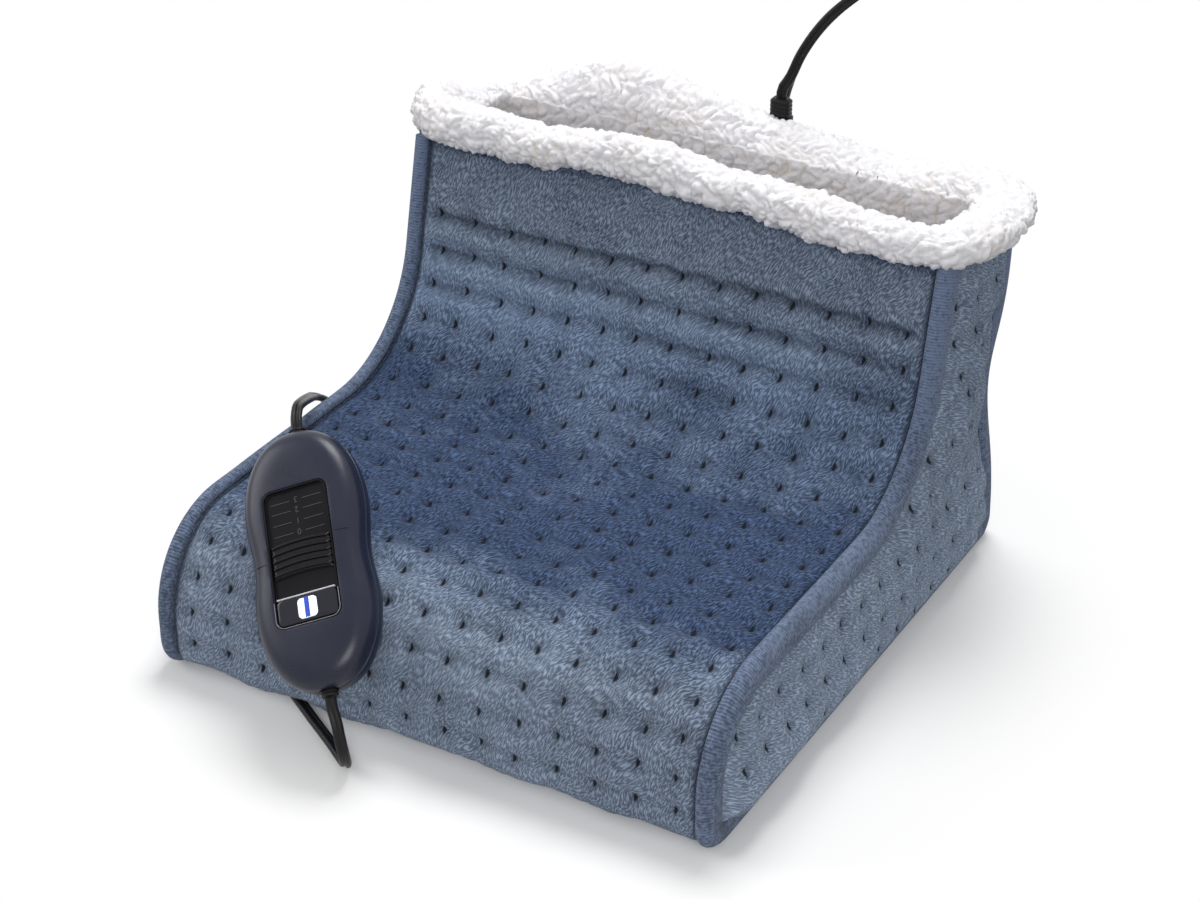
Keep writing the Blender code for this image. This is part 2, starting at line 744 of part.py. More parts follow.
def lining_pieces():
    depth = PANEL_THICK + GAP
    half = lining_half()
    sole_top = SOLE_THICK + FOAM_THICK + CARRIER_THICK + WIRE_DIAMETER + 4 * GAP
    inner_depth = depth + LINING_THICK
    low = sole_top + LINING_THICK + GAP
    outer = [p for p in front_path(depth, sole_top, LINING_TOP) if p[1] >= low]
    inner = [p for p in front_path(inner_depth, sole_top, LINING_TOP) if p[1] >= low]
    outer.append((outer[-1][0], low))
    inner.append((inner[-1][0], low))
    across("lining_instep", outer + inner[::-1], -half, half, "sherpa", True)
    side_face = HALF_WIDTH - PANEL_THICK - GAP
    for name, side in (("lining_left", -1), ("lining_right", 1)):
        outline = side_outline(depth, sole_top, LINING_TOP)
        across(name, outline, side * (side_face - LINING_THICK), side * side_face, "sherpa", True)
    front = outline_corners(depth, sole_top, LINING_TOP)["toe_bottom"][0]
    back = BACK_FACE - depth
    back_inner = back - BACK_LINING_THICK
    floor = block(
        "lining_sole",
        (-half, front + LEAST_RADIUS, sole_top),
        (half, back_inner - GAP, sole_top + LINING_THICK),
        "sherpa",
    )
    pocket = block(
        "cutout_pocket",
        (-CUTOUT_LENGTH / 2 - GAP, -CUTOUT_WIDTH / 2 - GAP, sole_top - OVERRUN),
        (CUTOUT_LENGTH / 2 + GAP, CUTOUT_WIDTH / 2 + GAP, heater_level() + CUTOUT_HEIGHT + GAP),
        "sherpa",
    )
    cut(floor, pocket)
    rear = block("lining_back", (-half, back_inner, sole_top), (half, back, LINING_TOP), "sherpa")
    reach = SPLICE_LENGTH / 2 + GAP
    splice = block(
        "splice_pocket",
        (GLAND_X - reach, back_inner - OVERRUN, sole_top - OVERRUN),
        (GLAND_X + reach, back + OVERRUN, splice_top() + GAP),
        "sherpa",
    )
    slot = INNER_LEAD_DIAMETER / 2 + GAP
    groove = block(
        "lead_groove",
        (GLAND_X - slot, back - 2 * slot, splice_top() - OVERRUN),
        (GLAND_X + slot, back + OVERRUN, GLAND_STUB_HEIGHT),
        "sherpa",
    )
    stub = GLAND_STUB_RADIUS + GAP
    seat = block(
        "stub_seat",
        (GLAND_X - stub, back - 2 * slot, GLAND_STUB_HEIGHT - stub),
        (GLAND_X + stub, back + OVERRUN, GLAND_STUB_HEIGHT + stub),
        "sherpa",
    )
    cut(rear, splice, groove, seat)


def lining_half():
    """Half of the width between the side linings."""
    return HALF_WIDTH - PANEL_THICK - LINING_THICK - 3 * GAP


def heater_level():
    """Top of the carrier sheet, where the wire lies."""
    return SOLE_THICK + FOAM_THICK + CARRIER_THICK + 2 * GAP


def splice_back():
    return BACK_FACE - PANEL_THICK - 3 * GAP


def splice_top():
    return SOLE_THICK + GAP + SPLICE_HEIGHT


def heater():
    front = TOE_FRONT + TOE_BOTTOM_RADIUS + GAP
    back = splice_back() - SPLICE_DEPTH - GAP
    half = lining_half()
    foam_bottom = SOLE_THICK + GAP
    foam_top = foam_bottom + FOAM_THICK
    block("sole_foam", (-half, front, foam_bottom), (half, back, foam_top), "foam")
    block(
        "heater_carrier", (-half, front, foam_top + GAP), (half, back, foam_top + GAP + CARRIER_THICK), "felt"
    )


def wire_tube(name, route, diameter, look, level=1):
    """A tube straight from point to point."""
    line = bpy.data.curves.new(name, "CURVE")
    line.dimensions = "3D"
    line.bevel_depth = diameter / 2
    line.bevel_resolution = level
    line.use_fill_caps = True
    spline = line.splines.new("POLY")
    spline.points.add(len(route) - 1)
    for point, place in zip(spline.points, route):
        point.co = (*place, 1.0)
    obj = bpy.data.objects.new(name, line)
    line.materials.append(material(look))
    bpy.context.scene.collection.objects.link(obj)
    return obj


def heating_wire():
    """One run out from the splice, back and forth over the sole and home again."""
    back = splice_back() - SPLICE_DEPTH - GAP
    z = heater_level() + GAP + WIRE_DIAMETER / 2
    bend = HEATER_PITCH / 2
    half = lining_half() - HEATER_PITCH - HEATER_MARGIN
    route = []
    first = back - 2 * HEATER_PITCH
    for row in range(HEATER_ROWS):
        y = first - row * HEATER_PITCH
        side = -1 if row % 2 else 1
        if row == 0:
            route.append((-half, y, z))
        else:
            route.append((-side * half, y, z))
        route.append((side * half, y, z))
        if row < HEATER_ROWS - 1:
            for step in (1, 2, 3):
                turn = math.pi * step / 4
                reach = side * (half + bend * math.sin(turn))
                route.append((reach, y - bend + bend * math.cos(turn), z))
    in_x = GLAND_X - HEATER_LEAD_SPACING / 2
    out_x = GLAND_X + HEATER_LEAD_SPACING / 2
    leading = [
        (in_x, back, z),
        (in_x, back - bend, z),
        (in_x - bend / 2, back - HEATER_PITCH, z),
        (-half, back - HEATER_PITCH, z),
        (-half - bend, back - 3 * bend, z),
    ]
    edge = half + HEATER_PITCH
    end_y = first - (HEATER_ROWS - 1) * HEATER_PITCH
    trailing = [
        (edge - bend / 2, end_y, z),
        (edge, end_y + bend / 2, z),
        (edge, back - HEATER_PITCH - bend / 2, z),
        (edge - bend / 2, back - HEATER_PITCH, z),
        (out_x + bend / 2, back - HEATER_PITCH, z),
        (out_x, back - bend, z),
        (out_x, back, z),
    ]
    return wire_tube("heating_wire", leading + route + trailing, WIRE_DIAMETER, "wire")


def thermal_cutout():
    bottom = heater_level() + GAP
    block(
        "thermal_cutout",
        (-CUTOUT_LENGTH / 2, -CUTOUT_WIDTH / 2, bottom),
        (CUTOUT_LENGTH / 2, CUTOUT_WIDTH / 2, heater_level() + CUTOUT_HEIGHT),
        "cutout",
    )


def splice_housing():
    back = splice_back()
    reach = SPLICE_LENGTH / 2
    block(
        "splice_housing",
        (GLAND_X - reach, back - SPLICE_DEPTH, SOLE_THICK + GAP),
        (GLAND_X + reach, back, splice_top()),
        "casing",
    )


# Collar

def rounded_rectangle(left, right, front, back, radius, arc=4, middles=3):
    """Plan points of a rectangle with round corners and evenly spaced points between."""
    points = []
    corners = (
        (right - radius, front + radius, -90), (right - radius, back - radius, 0),
        (left + radius, back - radius, 90), (left + radius, front + radius, 180),
    )
    for i, (x, y, start) in enumerate(corners):
        for step in range(arc + 1):
            turn = math.radians(start + 90 * step / arc)
            points.append((x + radius * math.cos(turn), y + radius * math.sin(turn)))
        nx, ny, _ = corners[(i + 1) % len(corners)]
        turn = math.radians(start + 90)
        a = points[-1]
        b = (nx + radius * math.cos(turn), ny + radius * math.sin(turn))
        for step in range(1, middles + 1):
            share = step / (middles + 1)
            points.append((a[0] + (b[0] - a[0]) * share, a[1] + (b[1] - a[1]) * share))
    return points


def sherpa_collar():
    """The cuff, rolled over the top edges of the shell and of the lining."""
    wall = -PANEL_THICK - GAP
    seat, roof = LINING_TOP + GAP, SHELL_TOP + GAP
    # Overhang from the shell, height, and corner radius in plan
    turns = [(COLLAR_CLEAR, COLLAR_BOTTOM, LEAST_RADIUS)]
    for overhang, shares in ((COLLAR_OUT, COLLAR_OUTER_SHARES), (-COLLAR_IN, COLLAR_INNER_SHARES)):
        for out, up, corner in shares:
            turns.append((overhang * out, COLLAR_BOTTOM + COLLAR_HEIGHT * up, COLLAR_CORNER * corner))
    turns += [
        (-COLLAR_IN * COLLAR_SEAT_SHARE, seat, turns[-1][-1]),
        (wall, seat, LEAST_RADIUS), (wall, roof, LEAST_RADIUS), (COLLAR_CLEAR, roof, LEAST_RADIUS),
    ]
    loops = []
    for over, z, radius in turns:
        front = leg_front_at(min(z, SHELL_TOP)) - over
        plan = rounded_rectangle(-HALF_WIDTH - over, HALF_WIDTH + over, front, BACK_FACE + over, radius)
        sag = 0.0 if z in (seat, roof) else COLLAR_BACK_SAG * (z - COLLAR_BOTTOM) / COLLAR_HEIGHT
        loops.append([(x, y, z - sag * collar_share(y)) for x, y in plan])
    collar = ring("sherpa_collar", loops, "sherpa", True)
    x, y = GLAND_WIDTH / 2 + GAP, GLAND_DEPTH / 2 + GAP
    hole = block(
        "gland_hole",
        (GLAND_X - x, gland_y() - y, COLLAR_BOTTOM - OVERRUN),
        (GLAND_X + x, gland_y() + y, COLLAR_TOP + OVERRUN),
        "sherpa",
    )
    cut(collar, hole)
    return collar


def collar_share(y):
    """0 along the front of the mouth, 1 along its back."""
    return min(max((y - LEG_FRONT) / (BACK_FACE - LEG_FRONT), 0.0), 1.0)


def gland_y():
    return BACK_FACE + GLAND_OUT


def cable_gland():
    """Moulded strain relief: a plate and stub on the back cloth, and a block up through the cuff."""
    def level(z, width, depth):
        x, y = width / 2, depth / 2
        return [
            (GLAND_X - x, gland_y() - y, z), (GLAND_X + x, gland_y() - y, z),
            (GLAND_X + x, gland_y() + y, z), (GLAND_X - x, gland_y() + y, z),
        ]
    loops = [
        level(GLAND_FOOT, GLAND_WIDTH, GLAND_DEPTH),
        level(GLAND_SHOULDER, GLAND_WIDTH, GLAND_DEPTH),
        level(GLAND_TOP, GLAND_TIP_WIDTH, GLAND_TIP_DEPTH),
    ]
    gland = loft("cable_gland", loops, "casing")
    plate = block(
        "gland_plate",
        (GLAND_X - PLATE_WIDTH / 2, BACK_FACE + PUFF_HEIGHT + GAP, GLAND_FOOT),
        (GLAND_X + PLATE_WIDTH / 2, gland_y() - GLAND_DEPTH / 2 + PLATE_THICK / 2, GLAND_FOOT + PLATE_HEIGHT),
        "casing",
    )
    lining_front = BACK_FACE - PANEL_THICK - 2 * GAP - INNER_LEAD_DIAMETER
    stub = cylinder_along_y(
        "gland_stub", GLAND_X, GLAND_STUB_HEIGHT, GLAND_STUB_RADIUS,
        lining_front, gland_y(), "casing",
    )
    fuse(gland, plate, stub)
    return gland


def internal_lead():
    """The lead inside the boot, from the gland's stub down to the splice."""
    y = BACK_FACE - PANEL_THICK - 2 * GAP - INNER_LEAD_DIAMETER / 2
    top = GLAND_STUB_HEIGHT - GLAND_STUB_RADIUS - GAP
    wire_tube(
        "internal_lead",
        [(GLAND_X, y, splice_top() + GAP), (GLAND_X, y, (splice_top() + top) / 2), (GLAND_X, y, top)],
        INNER_LEAD_DIAMETER, "cord", TUBE_STEPS,
    )


# Cords, coil and plug

def smooth_route(route, step):
    """Evenly spaced points of a smooth curve, whose two end runs stay straight."""
    knots = [Vector(p) for p in route]
    ends = knots[0], knots[-1]
    dense = []
    for a, b, c, d in zip(knots, knots[1:], knots[2:], knots[3:]):
        for i in range(12):
            t = i / 12
            dense.append(
                b + ((c - a) * t + (a * 2 - b * 5 + c * 4 - d) * t * t + (b * 3 - a - c * 3 + d) * t ** 3) / 2
            )
    dense.append(knots[-2])
    total = sum((b - a).length for a, b in zip(dense, dense[1:]))
    count = max(round(total / step), 2)
    points, walked, target = [dense[0]], 0.0, total / count
    for a, b in zip(dense, dense[1:]):
        piece = (b - a).length
        while piece and walked + piece >= target * len(points) and len(points) < count:
            points.append(a.lerp(b, (target * len(points) - walked) / piece))
        walked += piece
    points = [ends[0], *points, dense[-1], ends[1]]
    least = CORD_DIAMETER / 2 + CORD_LIFT
    return [(p.x, p.y, max(p.z, least)) for p in points], path_length(points)


def case_axes():
    """The controller's own X, Y and Z directions, where its Y runs up to the lead."""
    tilt, turn = math.radians(CASE_TILT_ANGLE), math.radians(CASE_TURN_ANGLE)
    down = Vector((math.sin(turn), -math.cos(tilt) * math.cos(turn), -math.sin(tilt) * math.cos(turn)))
    normal = Vector((0.0, -math.sin(tilt), math.cos(tilt)))
    return normal.cross(down), -down, normal


def case_centre():
    """The controller's middle: it rests on the toe's arc and lies a little way up it."""
    tilt = math.radians(CASE_TILT_ANGLE)
    reach = TOE_RADIUS + CASE_HEIGHT / 2 + CASE_CLEAR
    y = TOE_FRONT + TOE_RADIUS - reach * math.sin(tilt) + CASE_SLIDE * math.cos(tilt)
    z = TOE_HEIGHT - TOE_RADIUS + reach * math.cos(tilt) + CASE_SLIDE * math.sin(tilt)
    return Vector((CASE_X, y, z))


def case_end(sign, run=0.0):
    """This far outside a bushing of the controller: 1 is its upper end, -1 its lower end."""
    return tuple(case_centre() + case_axes()[1] * (sign * (CASE_LENGTH / 2 + BUSHING_OUT + GAP + run)))


def cords():
    straight = CORD_DIAMETER
    above = GLAND_TOP + GAP
    lead_route = (
        (GLAND_X, gland_y(), above), (GLAND_X, gland_y(), above + straight), *LEAD_ROUTE,
        case_end(1, straight), case_end(1),
    )
    lead = cord("lead_cord", lead_route)
    loops = coil_points()
    start, end = loops[0], loops[-1]
    mains_route = (
        case_end(-1), case_end(-1, straight), *MAINS_ROUTE,
        (start[0] - GAP - straight, start[1], start[2]), (start[0] - GAP, start[1], start[2]),
    )
    mains = cord("mains_cord", mains_route)
    plug_x, plug_y = PLUG_TAIL_END
    z = PLUG_THICK / 2 + CORD_LIFT
    tail_route = (
        (end[0] - GAP, end[1], end[2]), (end[0] - GAP - straight, end[1], end[2]),
        ((end[0] + plug_x) / 2, (end[1] + plug_y) / 2, (end[2] + z) / 2),
        (plug_x + GAP + straight, plug_y, z), (plug_x + GAP, plug_y, z),
    )
    tail = cord("mains_cord_tail", tail_route)
    coiled = path_length(loops)
    print(f"lead {lead:.3f} m, mains {mains + coiled + tail:.3f} m of which {coiled:.3f} m coiled")


def cord(name, route):
    points, length = smooth_route(route, CORD_STEP)
    wire_tube(name, points, CORD_DIAMETER, "cord", TUBE_STEPS)
    return length


def coil_points():
    """Turns that spiral in, climb a layer where the spiral reverses, and spiral out again."""
    x, y = COIL_CENTRE
    low = TIE_THICK + 2 * GAP + CORD_DIAMETER / 2
    high = low + COIL_PITCH
    turns = 2 * COIL_TURNS + COIL_CLIMB_SHARE
    count = round(turns * COIL_POINTS)
    points = [(x - CORD_DIAMETER, y + COIL_RADIUS, low)]
    for i in range(count + 1):
        turn = i / COIL_POINTS
        radius = COIL_RADIUS - COIL_PITCH * min(turn, turns - turn)
        risen = min(max((turn - COIL_TURNS) / COIL_CLIMB_SHARE, 0.0), 1.0)
        z = low + (high - low) * risen
        angle = math.pi / 2 - math.tau * turn
        points.append((x + radius * math.cos(angle), y + radius * math.sin(angle), z))
    last = points[-1]
    points.append((last[0] - CORD_DIAMETER, last[1], last[2]))
    return points


def coil():
    points = coil_points()
    wire_tube("mains_cord_coil", points, CORD_DIAMETER, "cord", 1)
    least = math.inf
    skip = COIL_POINTS // 2
    for i, a in enumerate(points):
        for b in points[i + skip :]:
            least = min(least, math.dist(a, b) - CORD_DIAMETER)
    print(f"least gap of the coil to itself {least * 1000:.2f} mm")


def cord_tie():
    """A flat band round all the coil's turns at one place."""
    inner = COIL_RADIUS - COIL_PITCH * (COIL_TURNS + COIL_CLIMB_SHARE) - CORD_DIAMETER / 2 - 2 * GAP
    outer = COIL_RADIUS + CORD_DIAMETER / 2 + 2 * GAP
    top = TIE_THICK + 3 * GAP + COIL_PITCH + CORD_DIAMETER
    bottom = TIE_THICK
    rings = []
    for r0, r1, z0, z1 in (
        (inner - TIE_THICK, outer + TIE_THICK, 0.0, top + TIE_THICK),
        (inner, outer, bottom, top),
    ):
        for side in (-1, 1):
            s = side * TIE_WIDTH / 2
            rings.append([(r0, s, z0), (r1, s, z0), (r1, s, z1), (r0, s, z1)])
    order = (rings[0], rings[1], rings[3], rings[2])
    angle = math.radians(TIE_ANGLE)
    x, y = COIL_CENTRE
    c, n = math.cos(angle), math.sin(angle)
    loops = [[(x + r * c - s * n, y + r * n + s * c, z) for r, s, z in loop] for loop in order]
    return ring("cord_tie", loops, "cord")


def plug():
    """Flat two-pin plug with its strain relief, lying along X behind the boot."""
    x0, y0 = PLUG_TAIL_END
    z0 = PLUG_THICK / 2 + CORD_LIFT
    stations = (
        (0.0, PLUG_TAIL_WIDTH, PLUG_TAIL_WIDTH),
        (PLUG_TAIL, PLUG_NECK_WIDTH * PLUG_TAIL_END_SHARES[0], PLUG_NECK_THICK * PLUG_TAIL_END_SHARES[1]),
        (PLUG_TAIL + PLUG_LENGTH * PLUG_NECK_SHARE, PLUG_NECK_WIDTH, PLUG_NECK_THICK),
        (PLUG_TAIL + PLUG_LENGTH * PLUG_SHOULDER_SHARES[0], PLUG_WIDTH * PLUG_SHOULDER_SHARES[1], PLUG_THICK),
        (PLUG_TAIL + PLUG_LENGTH * PLUG_FULL_SHARE, PLUG_WIDTH, PLUG_THICK),
        (PLUG_TAIL + PLUG_LENGTH, PLUG_WIDTH, PLUG_THICK),
    )
    loops = []
    for reach, width, thick in stations:
        corner = min(width, thick) * PLUG_CORNER_SHARE
        section = rounded_rectangle(-width / 2, width / 2, -thick / 2, thick / 2, corner, 3, 0)
        loops.append([(x0 - reach, y0 + a, z0 + b) for a, b in section])
    plug_body = loft("plug_body", loops, "cord", True)
    face = x0 - PLUG_TAIL - PLUG_LENGTH
    for name, side in (("plug_pin_1", -1), ("plug_pin_2", 1)):
        turns = [math.tau * i / BOSS_SIDES for i in range(BOSS_SIDES)]
        y = y0 + side * PIN_SPACING / 2
        sizes = (
            (face + PIN_SOCKET, PIN_DIAMETER / 2), (face - PIN_LENGTH + PIN_DIAMETER / 4, PIN_DIAMETER / 2),
            (face - PIN_LENGTH, PIN_DIAMETER / 4),
        )
        loops = [[(x, y + r * math.cos(t), z0 + r * math.sin(t)) for t in turns] for x, r in sizes]
        loft(name, loops, "pin", True)
        socket_radius = PIN_DIAMETER / 2 + GAP
        ends = (face + PIN_SOCKET + GAP, face - OVERRUN)
        circle = [(y + socket_radius * math.cos(t), z0 + socket_radius * math.sin(t)) for t in turns]
        cut(plug_body, across("pin_socket", circle, *ends, "cord"))


# Controller, modelled in its own frame and then laid on the toe

def case_outline(inset=0.0):
    """The waisted outline of the casing, moved in by inset along its normals."""
    half_length, half_width = CASE_LENGTH / 2, CASE_WIDTH / 2
    end_power, side_power = CASE_POWER_SHARES
    points = []
    for i in range(CASE_POINTS):
        turn = math.tau * i / CASE_POINTS
        y = half_length * math.sin(turn)
        full = (1 - abs(math.sin(turn)) ** end_power) ** (1 / side_power)
        waist = 1 - CASE_WAIST_SHARE * math.exp(-((y / CASE_WAIST_LENGTH) ** 2))
        side = 1 if math.cos(turn) >= 0 else -1
        points.append(Vector((side * half_width * full * waist, y)))
    moved = []
    for i, point in enumerate(points):
        run = points[(i + 1) % CASE_POINTS] - points[i - 1]
        normal = Vector((run.y, -run.x)).normalized()
        moved.append(point - normal * inset)
    return moved


def case_shell(name, side):
    """Half of the casing: side 1 is the upper shell with the window, -1 the lower."""
    loops = []
    for inset, height in reversed(CASE_INSIDE):
        loops.append([(p.x, p.y, side * height) for p in case_outline(inset)])
    for inset, height in CASE_OUTSIDE:
        loops.append([(p.x, p.y, side * height) for p in case_outline(inset)])
    return loft(name, loops, "casing", True)


def window_plan(margin, length=WINDOW_LENGTH, width=WINDOW_WIDTH, corner=WINDOW_CORNER, centre=0.0):
    x, y = width / 2 + margin, length / 2 + margin
    return rounded_rectangle(-x, x, centre - y, centre + y, corner + margin, 4, 0)


def prism(name, plan, bottom, top, look):
    return loft(name, [[(x, y, z) for x, y in plan] for z in (bottom, top)], look, True)


def boss_places():
    return [(side * BOSS_X, end * BOSS_Y) for side in (-1, 1) for end in (-1, 1)]


def bushing_holes():
    holes = []
    for end in (-1, 1):
        start = end * (CASE_LENGTH / 2 - CASE_WALL - OVERRUN)
        stop = end * (CASE_LENGTH / 2 + OVERRUN)
        holes.append(cylinder_along_y("bushing_hole", 0.0, 0.0, BUSHING_RADIUS + GAP, start, stop, "casing"))
    return holes


def upper_shell():
    shell = case_shell("controller_upper_shell", 1)
    bottom = BOARD_BOTTOM + BOARD_THICK + GAP
    crown = CASE_INSIDE[-1][1] + CASE_WALL / 2
    fuse(shell, *[cylinder("boss", place, BOSS_RADIUS, bottom, crown, "casing") for place in boss_places()])
    holes = [
        cylinder("hole", place, SCREW_HOLE, bottom - OVERRUN, SCREW_HOLE_TOP, "casing", SCREW_SIDES)
        for place in boss_places()
    ]
    window = prism("window", window_plan(0.0), BOARD_BOTTOM, CASE_HEIGHT, "casing")
    cut(shell, window, *holes, *bushing_holes())
    return shell


def lower_shell():
    shell = case_shell("controller_lower_shell", -1)
    floor = -CASE_INSIDE[-1][1] - CASE_WALL / 2
    top = BOARD_BOTTOM - GAP
    fuse(shell, *[cylinder("boss", place, BOSS_RADIUS, floor, top, "casing") for place in boss_places()])
    holes = []
    for place in boss_places():
        for radius, start, stop in (
            (SCREW_HOLE, SCREW_LEDGE - OVERRUN, top + OVERRUN), (SCREW_HEAD_HOLE, -CASE_HEIGHT, SCREW_LEDGE),
        ):
            holes.append(cylinder("hole", place, radius, start, stop, "casing", SCREW_SIDES))
    cut(shell, *holes, *bushing_holes())
    return shell


def slider_track():
    """The sunken plate in the window: a lip below the casing, a rim round it and the slider's slot."""
    fit = -GAP
    levels = (
        (TRACK_LIP, TRACK_BOTTOM), (TRACK_LIP, TRACK_LIP_TOP), (fit, TRACK_LIP_TOP),
        (fit, TRACK_RIM_TOP), (fit - TRACK_RIM, TRACK_RIM_TOP), (fit - TRACK_RIM, TRACK_FLOOR),
    )
    loops = [[(x, y, z) for x, y in window_plan(margin)] for margin, z in levels]
    track = loft("slider_track", loops, "track", True)
    reach = STEM_LENGTH / 2 + GAP
    slot = block(
        "stem_slot",
        (-STEM_WIDTH / 2 - GAP, slider_centre() - SLIDER_STEP - reach, TRACK_BOTTOM - OVERRUN),
        (STEM_WIDTH / 2 + GAP, slider_centre() + 2 * SLIDER_STEP + reach, TRACK_RIM_TOP),
        "track",
    )
    cut(track, slot)
    return track


def slider_half_width():
    return WINDOW_WIDTH / 2 - TRACK_RIM - 2 * GAP


def switch_slider():
    """The thumb slide: a pad with arched ridges, and the stem that works the switch."""
    half = slider_half_width()
    bottom = TRACK_FLOOR + GAP
    top = bottom + SLIDER_THICK
    pitch = SLIDER_LENGTH / SLIDER_RIDGES
    edge = pitch * RIDGE_EDGE_SHARE
    lines = [(-SLIDER_LENGTH / 2, 0.0)]
    for i in range(SLIDER_RIDGES):
        middle = -SLIDER_LENGTH / 2 + (i + 0.5) * pitch
        lines += [
            (middle - 2 * edge, 0.0), (middle - edge, RIDGE_HEIGHT), (middle + edge, RIDGE_HEIGHT),
            (middle + 2 * edge, 0.0),
        ]
    lines.append((SLIDER_LENGTH / 2, 0.0))
    outer, inner = [], []
    for y, lift in lines:
        row = []
        for share in SLIDER_STATION_SHARES:
            arch = RIDGE_ARCH * (0.5 - share * share)
            side_drop = 0.0 if abs(share) < 1 else lift
            row.append((share * half, y + arch, top + lift - side_drop))
        outer.append(row)
        inner.append([(-half, row[0][1], bottom), (half, row[-1][1], bottom)])
    pad = grid_body("switch_slider", outer, inner, "slider")
    stem = block(
        "stem",
        (-STEM_WIDTH / 2, -STEM_LENGTH / 2, STEM_BOTTOM),
        (STEM_WIDTH / 2, STEM_LENGTH / 2, bottom + SLIDER_THICK / 2),
        "slider",
    )
    fuse(pad, stem)
    pad.location.y = slider_centre()
    return pad


def lens_centre():
    return -WINDOW_LENGTH / 2 + GAP + TRACK_RIM + GAP + LENS_LENGTH / 2


def slider_centre():
    """The slide's middle at rest, one step up from its lowest place."""
    return lens_centre() + LENS_LENGTH / 2 + SLIDER_REST + SLIDER_STEP + SLIDER_LENGTH / 2


def lens_and_lamp():
    bottom = TRACK_FLOOR + GAP
    half = slider_half_width()
    corner = WINDOW_CORNER - TRACK_RIM - 2 * GAP
    plan = rounded_rectangle(
        -half, half, lens_centre() - LENS_LENGTH / 2, lens_centre() + LENS_LENGTH / 2, corner, 4, 0
    )
    lens = prism("lens_band", plan, bottom, bottom + LENS_THICK, "lens")
    lamp_plan = window_plan(0.0, LAMP_LENGTH, LAMP_WIDTH, LAMP_CORNER, lens_centre())
    hole_plan = window_plan(GAP, LAMP_LENGTH, LAMP_WIDTH, LAMP_CORNER, lens_centre())
    cut(lens, prism("lamp_hole", hole_plan, TRACK_BOTTOM, CASE_HEIGHT, "lens"))
    lamp = prism("indicator_lamp", lamp_plan, bottom, bottom + LENS_THICK + LAMP_PROUD, "lamp")
    return [lens, lamp]


def circuit_board():
    plan = rounded_rectangle(
        -BOARD_WIDTH / 2, BOARD_WIDTH / 2, -BOARD_LENGTH / 2, BOARD_LENGTH / 2, LEAST_RADIUS * 2, 3, 0
    )
    board = prism("circuit_board", plan, BOARD_BOTTOM, BOARD_BOTTOM + BOARD_THICK, "board")
    holes = [
        cylinder("hole", place, SCREW_HOLE, BOARD_BOTTOM - OVERRUN, CASE_HEIGHT / 2, "board", SCREW_SIDES)
        for place in boss_places()
    ]
    cut(board, *holes)
    return board


def switch_block():
    bottom = BOARD_BOTTOM + BOARD_THICK + GAP
    centre = slider_centre() + SLIDER_STEP / 2
    switch = block(
        "switch_block",
        (-SWITCH_WIDTH / 2, centre - SWITCH_LENGTH / 2, bottom),
        (SWITCH_WIDTH / 2, centre + SWITCH_LENGTH / 2, bottom + SWITCH_HEIGHT),
        "cutout",
    )
    reach = STEM_LENGTH / 2 + GAP
    groove = block(
        "switch_groove",
        (-STEM_WIDTH / 2 - GAP, slider_centre() - SLIDER_STEP - reach, STEM_BOTTOM - GAP),
        (STEM_WIDTH / 2 + GAP, slider_centre() + 2 * SLIDER_STEP + reach, CASE_HEIGHT / 2),
        "cutout",
    )
    cut(switch, groove)
    return switch


def bushing(name, end):
    """The cord's relief in the casing's end: a collar inside the wall and a tapered nose outside it."""
    case, collar = CASE_LENGTH / 2, BUSHING_RADIUS + BUSHING_LIP
    seat = case - CASE_WALL - 2 * GAP - OVERRUN
    sizes = (
        (case - BUSHING_IN, collar), (seat, collar), (seat, BUSHING_RADIUS), (case, BUSHING_RADIUS),
        (case + BUSHING_OUT, BUSHING_TIP_RADIUS),
    )
    turns = [math.tau * i / BOSS_SIDES for i in range(BOSS_SIDES)]
    loops = [[(r * math.cos(t), end * y, r * math.sin(t)) for t in turns] for y, r in sizes]
    return loft(name, loops, "cord", True)


def screw(name, place):
    turns = [math.tau * i / SCREW_SIDES for i in range(SCREW_SIDES)]
    head_top = SCREW_LEDGE - GAP
    sizes = (
        (head_top - SCREW_HEAD_HEIGHT, SCREW_HEAD), (head_top, SCREW_HEAD),
        (head_top, SCREW_SHANK), (SCREW_TOP, SCREW_SHANK),
    )
    loops = [[(place[0] + r * math.cos(t), place[1] + r * math.sin(t), z) for t in turns] for z, r in sizes]
    return loft(name, loops, "screw", True)


def controller():
    """All its pieces hang from one empty that lays the controller on the toe."""
    place = bpy.data.objects.new("controller_place", None)
    bpy.context.scene.collection.objects.link(place)
    pieces = [
        upper_shell(), lower_shell(), slider_track(), switch_slider(), circuit_board(), switch_block(),
        bushing("upper_bushing", 1), bushing("lower_bushing", -1), *lens_and_lamp(),
    ]
    for i, spot in enumerate(boss_places()):
        pieces.append(screw(f"controller_screw_{i + 1}", spot))
    x, y, z = case_axes()
    frame = Matrix((x, y, z)).transposed().to_4x4()
    frame.translation = case_centre()
    for piece in pieces:
        piece.parent = place
    place.matrix_world = frame
    print("slide axis", [round(v, 5) for v in y])


def boot():
    panels = [instep_panel(), sole_panel(), side_panel("left_side_panel", -1), binding("left_binding", -1)]
    for panel in panels:
        cut(panel, channel_cutter())
    side_panel("right_side_panel", 1)
    binding("right_binding", 1)
    back_panel()
    lining_pieces()
    heater_pieces()
    sherpa_collar()
    cable_gland()
    internal_lead()


def heater_pieces():
    heater()
    heating_wire()
    thermal_cutout()
    splice_housing()


def main():
    clear_scene()
    boot()
    cords()
    coil()
    cord_tie()
    plug()
    controller()
    bpy.context.view_layer.update()


main()
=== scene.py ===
"""Electric foot warmer: tufted plush boot, curly-pile collar, slide controller and flat cords."""

